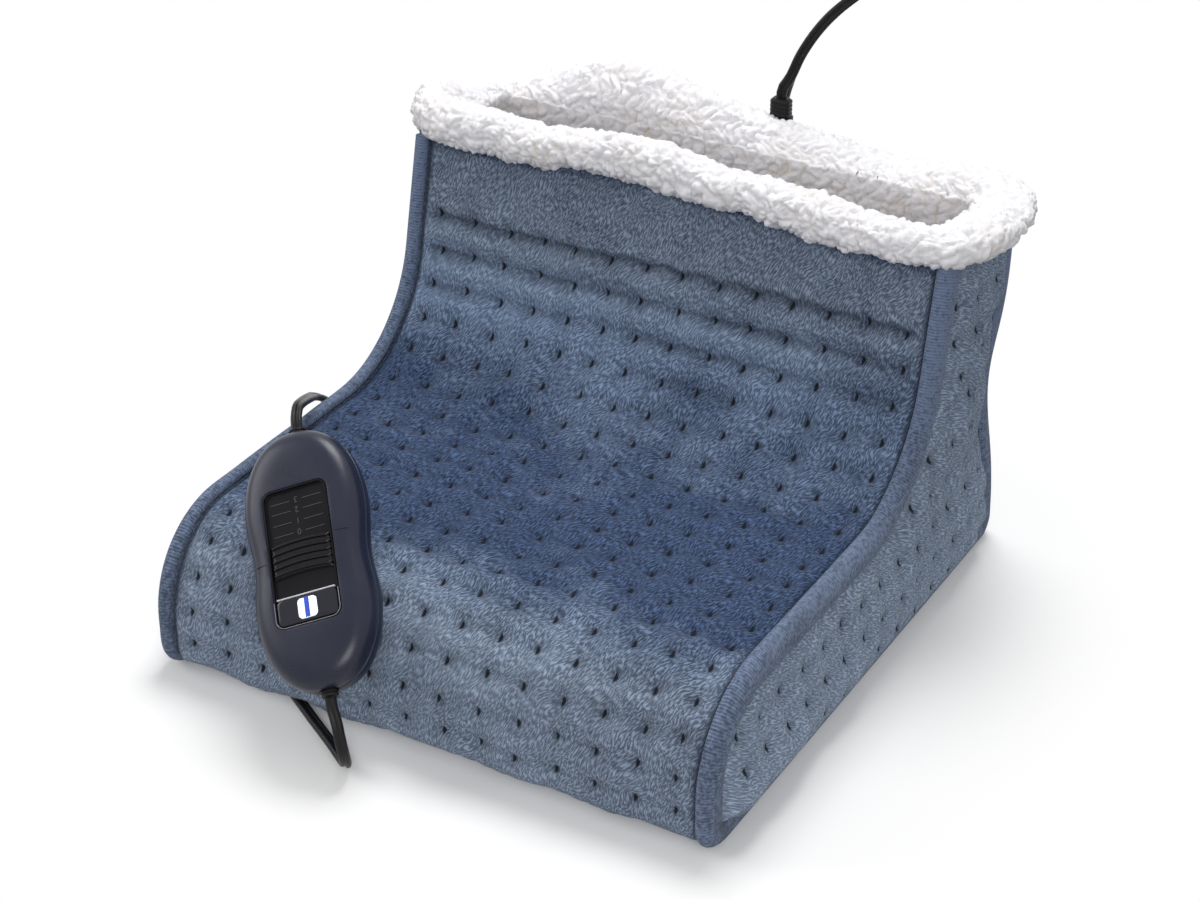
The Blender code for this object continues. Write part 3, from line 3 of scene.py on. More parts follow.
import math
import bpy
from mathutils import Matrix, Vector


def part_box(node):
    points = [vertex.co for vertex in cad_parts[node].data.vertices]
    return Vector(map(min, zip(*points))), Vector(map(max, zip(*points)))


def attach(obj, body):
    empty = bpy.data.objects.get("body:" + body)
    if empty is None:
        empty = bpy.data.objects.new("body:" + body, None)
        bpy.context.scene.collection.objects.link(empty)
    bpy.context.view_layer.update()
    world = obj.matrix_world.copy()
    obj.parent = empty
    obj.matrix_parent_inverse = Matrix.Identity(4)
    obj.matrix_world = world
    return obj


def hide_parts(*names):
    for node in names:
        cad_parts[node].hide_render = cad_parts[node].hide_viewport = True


bl_info = {
    "name": "Electric foot warmer",
    "version": (1, 0, 0),
    "blender": (4, 5, 0),
    "location": "View3D > Sidebar > Foot warmer",
    "description": "Builds the cloth, pile, controller and cords of an electric foot warmer",
    "category": "Object",
}

import bmesh
import bpy
import numpy as np
from bpy.props import FloatProperty, FloatVectorProperty, PointerProperty
from mathutils import Matrix, Vector
from mathutils.kdtree import KDTree

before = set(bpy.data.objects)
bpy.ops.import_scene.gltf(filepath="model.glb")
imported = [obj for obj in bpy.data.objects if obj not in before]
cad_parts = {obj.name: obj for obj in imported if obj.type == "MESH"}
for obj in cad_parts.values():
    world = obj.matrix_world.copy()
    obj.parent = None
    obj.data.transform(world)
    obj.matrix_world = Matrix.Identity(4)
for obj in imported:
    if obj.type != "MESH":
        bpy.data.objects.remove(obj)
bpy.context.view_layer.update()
BOOT, SLIDER = "boot", "slider"

# The boot's side outline, as in the CAD
TOE_FRONT, BACK_FACE = -0.1455, 0.1645
TOE_RADIUS, TOE_BOTTOM_RADIUS, HEEL_RADIUS, INSTEP_RADIUS = 0.047, 0.014, 0.010, 0.070
LEG_FRONT, LEG_LEAN_SLOPE, SEAM_HEIGHT = 0.0895, 0.2258, 0.186
SHELL_TOP, LINING_TOP = 0.196, 0.192
LEAST_RADIUS = 0.003
ARC_STEPS, WAVE_COUNT = 24, 7
BOOT_MIDDLE = Vector((0.0, 0.02, 0.06))
CLOTH_THICK, LEAST_CLOTH_HEIGHT, FLOOR_GAP = 0.0042, 0.0005, 0.0002

# Tufts
TUFT_COLUMNS, TUFT_PITCH, TUFT_ROW_PITCH, TUFT_ROWS = 14, 0.0201, 0.0180, 18
PLAIN_BAND, BACK_PLAIN_BAND, BACK_TUFT_ROWS = 0.047, 0.038, 8
SIDE_TUFT_EDGE, SIDE_TUFT_FRONT, SIDE_TUFT_LOW = 0.0105, 0.0232, 0.0160

# Controller, as it lies on the toe
CASE_CENTRE = (-0.0645, -0.13404, 0.08066)
CASE_TILT, CASE_TURN = 45.0, 31.5
CASE_LENGTH, CASE_WIDTH, BUSHING_REACH = 0.126, 0.061, 0.0653
WINDOW_WIDTH, WINDOW_LENGTH, WINDOW_CORNER = 0.0332, 0.0675, 0.0048
SLIDER_CENTRE, SLIDER_LENGTH = -0.0007, 0.0168
LENS_CENTRE, LENS_LENGTH = -0.02585, 0.0128
# Length, width, corner and centre of the lit window
LAMP_WINDOW = (0.0098, 0.0096, 0.0020, LENS_CENTRE)

# Cords: routes as in the CAD
CORD_WIDTH, CORD_THICK = 0.0054, 0.0035
GLAND_X, GLAND_Y, GLAND_TOP = 0.017, 0.1735, 0.2120
LEAD_ROUTE = (
    (0.0209, 0.1755, 0.2248), (0.0253, 0.1770, 0.2365), (0.0316, 0.1790, 0.2483),
    (0.0387, 0.1815, 0.2584), (0.0465, 0.1850, 0.2666), (0.0535, 0.1890, 0.2730),
    (0.0585, 0.1960, 0.2775), (0.0575, 0.2050, 0.2765), (0.0490, 0.2095, 0.2690),
    (0.0352, 0.2100, 0.2559), (0.0275, 0.2140, 0.2482), (0.0167, 0.2200, 0.2359),
    (0.0059, 0.2260, 0.2211), (-0.0034, 0.2320, 0.2053), (-0.0100, 0.2370, 0.1901),
    (-0.0145, 0.2410, 0.1773), (-0.0193, 0.2445, 0.1633), (-0.0260, 0.2490, 0.1310),
    (-0.0330, 0.2520, 0.0900), (-0.0440, 0.2530, 0.0480), (-0.0630, 0.2490, 0.0160),
    (-0.0880, 0.2380, 0.0036), (-0.1150, 0.2220, 0.0028), (-0.1400, 0.2000, 0.0028),
    (-0.1560, 0.1720, 0.0028), (-0.1630, 0.1360, 0.0028), (-0.1650, 0.1050, 0.0030),
    (-0.1655, 0.0780, 0.0100), (-0.1650, 0.0550, 0.0240), (-0.1630, 0.0340, 0.0440),
    (-0.1595, 0.0195, 0.0590), (-0.1563, 0.0080, 0.0700), (-0.1537, -0.0007, 0.0768),
    (-0.1499, -0.0115, 0.0836), (-0.1393, -0.0287, 0.0943), (-0.1249, -0.0510, 0.1082),
    (-0.1125, -0.0715, 0.1200), (-0.1060, -0.0835, 0.1250),
)
MAINS_ROUTE = (
    (-0.0238, -0.1790, 0.0324), (-0.0215, -0.1800, 0.0239), (-0.0208, -0.1790, 0.0160),
    (-0.0228, -0.1750, 0.0080), (-0.0280, -0.1695, 0.0036), (-0.0360, -0.1638, 0.0028),
    (-0.0446, -0.1580, 0.0028), (-0.0610, -0.1476, 0.0028), (-0.0790, -0.1358, 0.0028),
    (-0.1010, -0.1208, 0.0028), (-0.1240, -0.1040, 0.0028), (-0.1470, -0.0850, 0.0028),
    (-0.1650, -0.0640, 0.0028), (-0.1740, -0.0380, 0.0028), (-0.1765, -0.0050, 0.0028),
    (-0.1770, 0.0500, 0.0028), (-0.1760, 0.1000, 0.0028), (-0.1730, 0.1500, 0.0028),
    (-0.1630, 0.1980, 0.0028), (-0.1420, 0.2380, 0.0028), (-0.1080, 0.2700, 0.0028),
    (-0.0640, 0.2880, 0.0030), (-0.0200, 0.2930, 0.0038),
)
COIL_CENTRE, COIL_RADIUS, COIL_PITCH, COIL_TURNS, COIL_POINTS = (0.030, 0.2480), 0.0455, 0.0056, 3, 24
CORD_LOW, CORD_STEP, CORD_END_RUN, COIL_LOW = 0.0028, 0.0035, 0.005, 0.0040
TIE_ANGLE, TIE_HALF = math.radians(10.0), 0.003
PLUG_TAIL_END, PLUG_HEIGHT = (-0.0430, 0.1920), 0.0072


class WarmerSizes(bpy.types.PropertyGroup):
    body_width: FloatProperty(
        name="Body width", description="Width between the two side faces", default=0.296, unit="LENGTH"
    )
    toe_height: FloatProperty(
        name="Toe height", description="Height of the toe's top cloth", default=0.0765, unit="LENGTH"
    )
    tuft_depth: FloatProperty(
        name="Tuft depth", description="How far a tuft is drawn in", default=0.0026, unit="LENGTH"
    )
    puff: FloatProperty(
        name="Puff", description="Height of the cloth between tufts", default=0.0016, unit="LENGTH"
    )
    pile_height: FloatProperty(
        name="Pile height", description="Height of the collar's curls", default=0.0034, unit="LENGTH"
    )
    curl: FloatProperty(
        name="Curl", description="Width of one curl of the pile", default=0.0062, unit="LENGTH"
    )


class WarmerColours(bpy.types.PropertyGroup):
    # Plush and Plush, brushed are the two ends of one colour range, which carries how the nap lies and
    # also painted light and shade.
    plush: FloatVectorProperty(
        name="Plush", description="Cover cloth where its nap lies away", subtype="COLOR",
        default=(0.031, 0.051, 0.103),
    )
    plush_light: FloatVectorProperty(
        name="Plush, brushed", description="Cover cloth where its nap stands up", subtype="COLOR",
        default=(0.205, 0.260, 0.352),
    )
    tape: FloatVectorProperty(
        name="Tape", description="Binding tape", subtype="COLOR", default=(0.098, 0.130, 0.202)
    )
    pile: FloatVectorProperty(
        name="Pile", description="Tips of the curly pile", subtype="COLOR",
        default=(0.835, 0.825, 0.850),
    )
    # The pile's deep colour is its cream base darkened with painted shade between the clumps.
    pile_deep: FloatVectorProperty(
        name="Pile, deep", description="Bottom of the curly pile", subtype="COLOR",
        default=(0.62, 0.50, 0.36),
    )
    casing: FloatVectorProperty(
        name="Casing", description="Controller casing", subtype="COLOR",
        default=(0.0100, 0.0120, 0.0280),
    )


def sizes():
    return bpy.context.scene.warmer_sizes


def colours():
    return bpy.context.scene.warmer_colours


# Shader maths

class Wire:
    """A socket that takes part in arithmetic. Each operation adds its Math node."""

    def __init__(self, finish, socket):
        self.finish, self.socket = finish, socket

    def math(self, operation, *values):
        return self.finish.node("ShaderNodeMath", {"operation": operation}, list(values))

    def __add__(self, other):
        return self.math("ADD", self, other)

    def __sub__(self, other):
        return self.math("SUBTRACT", self, other)

    def __rsub__(self, other):
        return self.math("SUBTRACT", other, self)

    def __mul__(self, other):
        return self.math("MULTIPLY", self, other)

    def __truediv__(self, other):
        return self.math("DIVIDE", self, other)

    __radd__ = __add__
    __rmul__ = __mul__

    def between(self, low, high):
        """0 below low, 1 above high, and smooth between them."""
        settings = {"interpolation_type": "SMOOTHSTEP", "clamp": True}
        return self.finish.node("ShaderNodeMapRange", settings, [self, low, high, 0.0, 1.0])


class Finish:
    """One procedural material on a Principled shader."""

    def __init__(self, name, **constants):
        self.material = bpy.data.materials.new(name)
        self.material.use_nodes = True
        self.tree = self.material.node_tree
        self.shader = self.tree.nodes["Principled BSDF"]
        for key, value in constants.items():
            socket = key.replace("_", " ").title().replace("Ior", "IOR")
            self.shader.inputs[socket].default_value = value

    def node(self, kind, settings=None, inputs=None, output=0):
        made = self.tree.nodes.new(kind)
        for key, value in (settings or {}).items():
            setattr(made, key, value)
        pairs = inputs.items() if isinstance(inputs, dict) else enumerate(inputs or ())
        for key, value in pairs:
            if isinstance(value, Wire):
                self.tree.links.new(value.socket, made.inputs[key])
            else:
                made.inputs[key].default_value = value
        return Wire(self, made.outputs[output])

    def place(self, kind="Object", scale=(1.0, 1.0, 1.0)):
        spot = self.node("ShaderNodeTexCoord", output=kind)
        return self.vector("MULTIPLY", spot, scale)

    def vector(self, operation, first, second):
        return self.node("ShaderNodeVectorMath", {"operation": operation}, [first, second])

    def attribute(self, name):
        return self.node("ShaderNodeAttribute", {"attribute_name": name}, output="Fac")

    def noise(self, spot, scale, detail=2.0, roughness=0.5, distortion=0.0):
        values = {"Vector": spot, "Scale": scale, "Detail": detail}
        values.update(Roughness=roughness, Distortion=distortion)
        return self.node("ShaderNodeTexNoise", None, values)

    def cells(self, spot, scale):
        return self.node("ShaderNodeTexVoronoi", None, {"Vector": spot, "Scale": scale}, "Distance")

    def ribs(self, spot, scale, distortion):
        settings = {"wave_type": "BANDS", "bands_direction": "Y"}
        values = {"Vector": spot, "Scale": scale, "Distortion": distortion, "Detail": 1.0}
        return self.node("ShaderNodeTexWave", settings, values, "Fac")

    def mix(self, share, first, second):
        """Two colours mixed. The Mix node's colour sockets are its numbers 6, 7 and 2."""
        colours_in = {k: v if isinstance(v, Wire) else (*v, 1.0) for k, v in ((6, first), (7, second))}
        settings = {"data_type": "RGBA", "clamp_factor": True}
        return self.node("ShaderNodeMix", settings, {0: share, **colours_in}, 2)

    def set(self, name, value):
        if isinstance(value, Wire):
            self.tree.links.new(value.socket, self.shader.inputs[name])
        else:
            self.shader.inputs[name].default_value = value

    def bump(self, height, distance, strength=1.0):
        values = {"Height": height, "Distance": distance, "Strength": strength}
        self.set("Normal", self.node("ShaderNodeBump", None, values))


def plush_finish(name, dark, light, lean=0.42, size=(0.00066, 0.0027, 1.0)):
    """Brushed microfibre nap: fine strokes that lean about one way, painted shade in each tuft's narrow
    pit, and painted shade in folds, dents and seams.
    """
    made = Finish(
        name, roughness=0.88, specular_ior_level=0.26, sheen_weight=0.05, sheen_roughness=0.42,
        sheen_tint=(0.74, 0.80, 0.90, 1.0),
    )
    cloth = made.place("UV")
    coarse = {"Vector": cloth, "Scale": 48.0, "Detail": 1.0}
    bend = made.node("ShaderNodeTexNoise", None, coarse, "Color")
    bent = made.vector("ADD", cloth, made.vector("MULTIPLY", bend, (0.011, 0.011, 0.0)))
    turned = {"Vector": bent, "Rotation": (0.0, 0.0, lean), "Scale": size}
    brushed = made.node("ShaderNodeMapping", {"vector_type": "TEXTURE"}, turned)
    strokes = made.noise(brushed, 1.0, 2.0, 0.5)
    gaps = strokes - 0.46
    gaps = 1 - gaps.math("ABSOLUTE", gaps).between(0.0, 0.085)
    fine = made.noise(cloth, 1700.0, 2.0, 0.6)
    drift = made.noise(cloth, 85.0, 2.0, 0.5)
    patches = made.noise(cloth, 24.0, 3.0, 0.55, 0.6)
    # The tone attribute brings painted light and shade as well as how the nap lies.
    nap_and_painted_light = made.attribute("tone") + (drift - 0.5) * 0.45 + (patches - 0.5) * 0.60 + 0.50
    base = made.mix(nap_and_painted_light, dark, light)
    base = made.mix(made.attribute("blue"), base, made.vector("MULTIPLY", base, (0.95, 1.04, 1.17)))
    nap = (strokes - 0.5) * 2.80 - gaps * 0.27 + (fine - 0.5) * 0.60 + 0.56
    low = made.vector("MULTIPLY", base, made.mix(nap_and_painted_light, (0.15, 0.17, 0.22), (0.47, 0.49, 0.53)))
    high = made.vector("MULTIPLY", base, made.mix(nap_and_painted_light, (2.50, 2.34, 2.08), (1.60, 1.57, 1.50)))
    nap = made.mix(nap, low, high)
    across, along = made.attribute("tuft_x") / 0.00108, made.attribute("tuft_s") / 0.0027
    # Painted shade: dark in each tuft's narrow pit, near black at its middle.
    slit_shade = made.attribute("near") * (1 - (across * across + along * along).between(0.30, 1.10))
    # Painted shade from the shade attribute, in folds, dents and seams.
    shaded = made.mix(made.attribute("shade") * 0.62, nap, tuple(c * 0.42 for c in dark))
    made.set("Base Color", made.mix(slit_shade * 0.96, shaded, tuple(c * 0.10 for c in dark)))
    made.bump(strokes - gaps * 0.22 + fine * 0.2 + drift * 0.4 - slit_shade * 0.8, 0.0011, 0.75)
    return made.material


def tape_finish():
    """Soft brushed tape with very fine cross ribs, with painted light higher up and painted shade near
    the floor.
    """
    made = Finish(
        "tape", roughness=0.86, specular_ior_level=0.26, sheen_weight=0.12, sheen_roughness=0.45,
        sheen_tint=(0.74, 0.80, 0.90, 1.0),
    )
    spot = made.place()
    ribs = made.ribs(made.place("UV"), 205.0, 1.2)
    nap = made.noise(spot, 520.0, 3.0, 0.6)
    drift = made.noise(spot, 45.0, 2.0)
    dark, light = ([c * share for c in colours().tape] for share in (0.60, 1.60))
    # Painted light and shade by height: lighter higher up, darker near the floor.
    upwards = [spot, (0.0, 0.0, 1.0)]
    height = made.node("ShaderNodeVectorMath", {"operation": "DOT_PRODUCT"}, upwards, "Value")
    share = ribs * 0.40 + (nap - 0.5) * 3.6 + (drift - 0.5) * 0.8 + height * 4.6 + 0.02
    made.set("Base Color", made.mix(share, dark, light))
    made.bump(ribs * 0.8 + nap * 1.3, 0.0008, 0.7)
    return made.material


def pile_finish(name, warm=0.0):
    """Soft curly pile: bright clumps and fine fibre; the deepest folds are cream and darkened with
    painted shade.
    """
    made = Finish(name, roughness=0.96, sheen_weight=0.22, sheen_roughness=0.6)
    spot = made.place()
    deep = made.attribute("deep")
    patches = made.noise(spot, 24.0, 2.0)
    fibre = made.noise(spot, 620.0, 3.0, 0.65, 0.8)
    # warm, used for the lining, gives more cream and more painted shade between the clumps.
    cream = (patches - 0.47 + warm * 0.35) * 3.6
    roots_and_shade = made.mix(cream, (0.62, 0.60, 0.63), tuple(colours().pile_deep))
    # Painted shade between the clumps, stronger where the depth attribute is higher.
    share = deep * deep * (0.78 + warm) + (fibre - 0.5) * 0.14 + (patches - 0.5) * 0.08 + warm * 0.06
    made.set("Base Color", made.mix(share, tuple(colours().pile), roots_and_shade))
    made.bump(fibre, 0.0012, 0.55)
    return made.material


def plastic_finish(name, colour, roughness, grain, coat, shine):
    """Moulded plastic with a fine grain and faint handling marks."""
    made = Finish(name, coat_weight=coat, coat_roughness=0.06)
    made.set("Specular IOR Level", shine)
    spot = made.place()
    fine = made.noise(spot, 2600.0, 2.0, 0.6)
    marks = made.noise(spot, 45.0, 4.0, 0.6)
    made.set("Roughness", (marks - 0.5) * 0.16 + (fine - 0.5) * 0.08 + roughness)
    light = tuple(min(c * 1.5 + 0.004, 1.0) for c in colour)
    made.set("Base Color", made.mix((marks - 0.35) * 1.2, colour, light))
    if grain:
        made.bump(fine, grain, 0.35)
    return made.material


def metal_finish(name, colour, roughness):
    """Turned metal with fine tool marks."""
    made = Finish(name, metallic=1.0)
    spot = made.place()
    marks = made.noise(made.vector("MULTIPLY", spot, (1.0, 8.0, 8.0)), 900.0, 3.0)
    made.set("Roughness", (marks - 0.5) * 0.25 + roughness)
    made.set("Base Color", made.mix(marks, tuple(c * 0.8 for c in colour), colour))
    return made.material


def lit_finish():
    """The lit window: white with a cloudy blue cast."""
    made = Finish("lit window", roughness=0.2, emission_strength=0.75)
    spot = made.place()
    cloud = made.noise(spot, 160.0, 2.0)
    glow = made.mix((cloud - 0.3) * 1.3, (0.93, 0.96, 1.0), (0.62, 0.76, 1.0))
    made.set("Base Color", glow)
    made.set("Emission Color", glow)
    return made.material


def ribbed_sole_finish():
    """Sole cloth with small rubber grip dots."""
    made = Finish("sole cloth", roughness=0.85)
    spot = made.place()
    dots = 1 - made.cells(made.place("Object", (1.0, 1.0, 0.001)), 210.0).between(0.22, 0.34)
    weave = made.noise(spot, 1200.0, 2.0)
    cloth = made.mix(weave, (0.030, 0.036, 0.050), (0.060, 0.070, 0.095))
    made.set("Base Color", made.mix(dots, cloth, (0.016, 0.017, 0.020)))
    made.bump(dots + weave * 0.3, 0.0006, 0.6)
    return made.material


# Moulded or dyed materials: colour, roughness, depth of the grain, coat and shine
PLASTICS = {
    "thread": ((0.035, 0.050, 0.085), 0.80, 0.0002, 0.0, 0.50),
    "gloss": ((0.004, 0.004, 0.006), 0.34, 0.0, 0.0, 0.12),
    "slide": ((0.005, 0.005, 0.007), 0.26, 0.0, 0.0, 0.20),
    "band": ((0.008, 0.008, 0.015), 0.14, 0.0, 0.0, 0.32),
    "bright line": ((0.50, 0.51, 0.55), 0.25, 0.0, 0.4, 0.50),
    "faint line": ((0.20, 0.20, 0.23), 0.30, 0.0, 0.3, 0.50),
    "numeral": ((0.024, 0.024, 0.030), 0.45, 0.0, 0.0, 0.50),
    "blue numeral": ((0.02, 0.07, 0.50), 0.30, 0.0, 0.0, 0.50),
    "rubber": ((0.006, 0.006, 0.007), 0.36, 0.0003, 0.0, 0.20),
    "foam": ((0.62, 0.58, 0.48), 0.95, 0.0008, 0.0, 0.50),
    "felt": ((0.33, 0.32, 0.31), 0.95, 0.0006, 0.0, 0.50),
    "red wire": ((0.55, 0.08, 0.04), 0.45, 0.0002, 0.0, 0.50),
    "brown plastic": ((0.07, 0.05, 0.04), 0.40, 0.0002, 0.0, 0.50),
    "board": ((0.02, 0.13, 0.06), 0.35, 0.0002, 0.0, 0.50),
}
METALS = {"brass": ((0.80, 0.66, 0.38), 0.24), "steel": ((0.55, 0.56, 0.58), 0.32)}
# How the side cloth's strokes lean, and how much lighter its light colour is: painted light on the side
# faces.
SIDE_LEAN, SIDE_PAINTED_LIGHT = 1.15, 1.14
MADE = {}


def make_finish(name):
    if name in PLASTICS:
        return plastic_finish(name, *PLASTICS[name])
    if name in METALS:
        return metal_finish(name, *METALS[name])
    dark, light, casing = (tuple(c) for c in (colours().plush, colours().plush_light, colours().casing))
    makers = {
        "plush": lambda: plush_finish(name, dark, light),
        # The side cloth is a lighter copy of the plush: painted light.
        "plush side painted lighter": lambda: plush_finish(name, dark, tuple(v * SIDE_PAINTED_LIGHT for v in light), SIDE_LEAN),
        "tape": tape_finish,
        "pile": lambda: pile_finish(name),
        "pile lining": lambda: pile_finish(name, 0.25),
        "sole cloth": ribbed_sole_finish,
        "casing": lambda: plastic_finish(name, casing, 0.29, 0.0001, 0.0, 0.32),
        "lit": lit_finish,
    }
    return makers[name]()


def finish(name):
    """Each material is made once, when a piece first asks for it."""
    if name not in MADE:
        MADE[name] = make_finish(name)
    return MADE[name]


# Modelling helpers

def deselect():
    if bpy.context.mode != "OBJECT":
        bpy.ops.object.mode_set(mode="OBJECT")
    bpy.ops.object.select_all(action="DESELECT")


def pick(obj):
    deselect()
    bpy.context.view_layer.objects.active = obj
    obj.select_set(True)


def edit(obj):
    pick(obj)
    bpy.ops.object.mode_set(mode="EDIT")
    bpy.ops.mesh.select_all(action="SELECT")


def done():
    bpy.ops.object.mode_set(mode="OBJECT")


def grid(name, columns, rows):
    """A grid primitive at the origin, and each vertex's share across and along."""
    deselect()
    bpy.ops.mesh.primitive_grid_add(x_subdivisions=columns, y_subdivisions=rows, size=1.0)
    obj = bpy.context.object
    obj.name = obj.data.name = name
    flat = read_points(obj)
    return obj, flat[:, 0] + 0.5, flat[:, 1] + 0.5


def beside(*parts):
    """One column for each part, such as the X, Y and Z of points."""
    return np.stack(parts, axis=1)


def at_height(plan, z):
    return [(x, y, z) for x, y in plan]


def ring_turns(count):
    """The cosine and sine of each even turn of a ring."""
    return [(math.cos(t), math.sin(t)) for t in np.arange(count) * math.tau / count]


def read_points(obj):
    flat = np.empty(len(obj.data.vertices) * 3)
    obj.data.vertices.foreach_get("co", flat)
    return flat.reshape(-1, 3)


def write_points(obj, points):
    obj.data.vertices.foreach_set("co", np.ascontiguousarray(points, np.float64).ravel())
    obj.data.update()


def write_attribute(obj, name, values):
    layer = obj.data.attributes.new(name, "FLOAT", "POINT")
    layer.data.foreach_set("value", np.ascontiguousarray(values, np.float32))


def scale_uv(obj, across, along):
    """Makes the grid's UV map read in metres."""
    layer = obj.data.uv_layers.active.data
    flat = np.empty(len(layer) * 2)
    layer.foreach_get("uv", flat)
    flat = flat.reshape(-1, 2) * (across, along)
    layer.foreach_set("uv", flat.ravel())


def modify(obj, kind, **settings):
    """Adds a modifier and applies it."""
    pick(obj)
    change = obj.modifiers.new(kind.lower(), kind)
    for key, value in settings.items():
        setattr(change, key, value)
    bpy.ops.object.modifier_apply(modifier=change.name)


def smooth(obj, angle=None):
    pick(obj)
    if angle is None:
        bpy.ops.object.shade_smooth()
    else:
        bpy.ops.object.shade_smooth_by_angle(angle=math.radians(angle))


def face_away(obj, middle=BOOT_MIDDLE):
    """Turns a sheet's faces away from a point, such as the boot's inside."""
    work = bmesh.new()
    work.from_mesh(obj.data)
    if sum((f.calc_center_median() - middle).dot(f.normal) for f in work.faces) < 0:
        bmesh.ops.reverse_faces(work, faces=work.faces)
    work.to_mesh(obj.data)
    work.free()


def delete_where(obj, kind, chosen):
    """Deletes the vertices or faces that a mask picks."""
    edit(obj)
    bpy.ops.mesh.select_all(action="DESELECT")
    done()
    elements = obj.data.vertices if kind == "VERT" else obj.data.polygons
    elements.foreach_set("select", chosen)
    bpy.ops.object.mode_set(mode="EDIT")
    bpy.ops.mesh.select_mode(type=kind)
    bpy.ops.mesh.delete(type=kind)
    bpy.ops.mesh.select_mode(type="VERT")
    done()


def seat(obj, look, slot, body, *nodes):
    """Gives a finished piece its material and body, and hides the CAD nodes that it stands for. Its
    slot is not used.
    """
    obj.data.materials.clear()
    obj.data.materials.append(finish(look))
    if nodes:
        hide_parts(*nodes)
    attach(obj, body)
    return obj


def skin(name, loops, ring=False, caps=True):
    """A surface over closed loops of points, made from a grid that is wrapped round and welded."""
    loops = np.asarray(loops, float)
    if ring:
        loops = np.concatenate([loops, loops[:1]])
    loops = np.concatenate([loops, loops[:, :1]], axis=1)
    rows, columns = loops.shape[:2]
    obj, u, v = grid(name, columns - 1, rows - 1)
    i = np.rint(v * (rows - 1)).astype(int)
    j = np.rint(u * (columns - 1)).astype(int)
    write_points(obj, loops[i, j])
    edit(obj)
    bpy.ops.mesh.remove_doubles(threshold=1e-6)
    if caps and not ring:
        bpy.ops.mesh.select_all(action="DESELECT")
        bpy.ops.mesh.select_non_manifold(
            extend=False, use_wire=False, use_multi_face=False, use_verts=False
        )
        bpy.ops.mesh.edge_face_add()
        bpy.ops.mesh.select_all(action="SELECT")
    bpy.ops.mesh.normals_make_consistent(inside=False)
    done()
    return obj


def rounded_rectangle(left, right, front, back, radius, arc=6, middles=0):
    points = []
    corners = (
        (right - radius, front + radius, -90), (right - radius, back - radius, 0),
        (left + radius, back - radius, 90), (left + radius, front + radius, 180),
    )
    for i, (x, y, start) in enumerate(corners):
        for step in range(arc + 1):
            turn = math.radians(start + 90 * step / arc)
            points.append((x + radius * math.cos(turn), y + radius * math.sin(turn)))
        if middles:
            nx, ny, _ = corners[(i + 1) % 4]
            turn = math.radians(start + 90)
            a = points[-1]
            b = (nx + radius * math.cos(turn), ny + radius * math.sin(turn))
            for step in range(1, middles + 1):
                share = step / (middles + 1)
                points.append((a[0] + (b[0] - a[0]) * share, a[1] + (b[1] - a[1]) * share))
    return points


def waves(a, b, size, seed):
    """A smooth irregular field of about -1 to 1 over two coordinates."""
    rng = np.random.default_rng(seed)
    total = np.zeros(np.shape(a))
    for _ in range(WAVE_COUNT):
        turn, reach = rng.uniform(0, math.tau), rng.uniform(0.6, 1.6) / size
        along = a * math.cos(turn) + b * math.sin(turn)
        total += np.sin(math.tau * reach * along + rng.uniform(0, math.tau))
    return total / math.sqrt(WAVE_COUNT)


def step_up(values, low, high):
    """0 below low, 1 above high, and smooth between them."""
    share = np.clip((values - low) / (high - low), 0.0, 1.0)
    return share * share * (3 - 2 * share)


def bell(distance, width):
    return np.exp(-((distance / width) ** 2))


# Side outline of the boot

def fillet(before, corner, after, radius):
    """Points of an arc that rounds a corner."""
    corner = Vector(corner)
    to_before = (Vector(before) - corner).normalized()
    to_after = (Vector(after) - corner).normalized()
    half = to_before.angle(to_after) / 2
    centre = corner + (to_before + to_after).normalized() * (radius / math.sin(half))
    reach = radius / math.tan(half)
    first, last = corner + to_before * reach - centre, corner + to_after * reach - centre
    turn = first.angle_signed(last)
    points = []
    for i in range(ARC_STEPS + 1):
        c, s = math.cos(-turn * i / ARC_STEPS), math.sin(-turn * i / ARC_STEPS)
        points.append((centre.x + first.x * c - first.y * s, centre.y + first.x * s + first.y * c))
    return points


def leg_front_at(z, inset=0.0):
    return LEG_FRONT + (z - SEAM_HEIGHT) * LEG_LEAN_SLOPE + inset * math.hypot(1, LEG_LEAN_SLOPE)


def corners(inset, floor, top):
    level = sizes().toe_height - inset
    front, back = TOE_FRONT + inset, BACK_FACE - inset
    return (
        (leg_front_at(top, inset), top), (leg_front_at(level, inset), level), (front, level),
        (front, floor), (back, floor), (back, top),
    )


def front_line(inset=0.0, floor=0.0, top=SHELL_TOP):
    mouth, instep, toe, low, heel, _ = corners(inset, floor, top)
    points = [mouth] + fillet(mouth, instep, toe, INSTEP_RADIUS + inset)
    points += fillet(instep, toe, low, max(TOE_RADIUS - inset, LEAST_RADIUS))
    return points + fillet(toe, low, heel, max(TOE_BOTTOM_RADIUS - inset, LEAST_RADIUS))


def back_line(inset=0.0, floor=0.0, top=SHELL_TOP):
    _, _, _, low, heel, mouth = corners(inset, floor, top)
    return fillet(low, heel, mouth, max(HEEL_RADIUS - inset, LEAST_RADIUS)) + [mouth]


def side_line(inset=0.0, floor=0.0, top=SHELL_TOP):
    return front_line(inset, floor, top) + back_line(inset, floor, top)


class Line:
    """A Y-Z line read by its length, with its outward direction."""

    def __init__(self, points):
        self.points = np.array(points)
        runs = np.diff(self.points, axis=0)
        lengths = np.hypot(*runs.T)
        keep = np.concatenate([[True], lengths > 1e-7])
        self.points = self.points[keep]
        runs = np.diff(self.points, axis=0)
        lengths = np.hypot(*runs.T)
        self.reach = np.concatenate([[0.0], np.cumsum(lengths)])
        runs /= lengths[:, None]
        turned = np.concatenate([runs[:1], (runs[1:] + runs[:-1]) / 2, runs[-1:]])
        turned /= np.hypot(*turned.T)[:, None]
        self.out = beside(turned[:, 1], -turned[:, 0])
        self.length = self.reach[-1]

    def at(self, s):
        y, z = (np.interp(s, self.reach, self.points[:, k]) for k in (0, 1))
        oy, oz = (np.interp(s, self.reach, self.out[:, k]) for k in (0, 1))
        return y, z, oy, oz


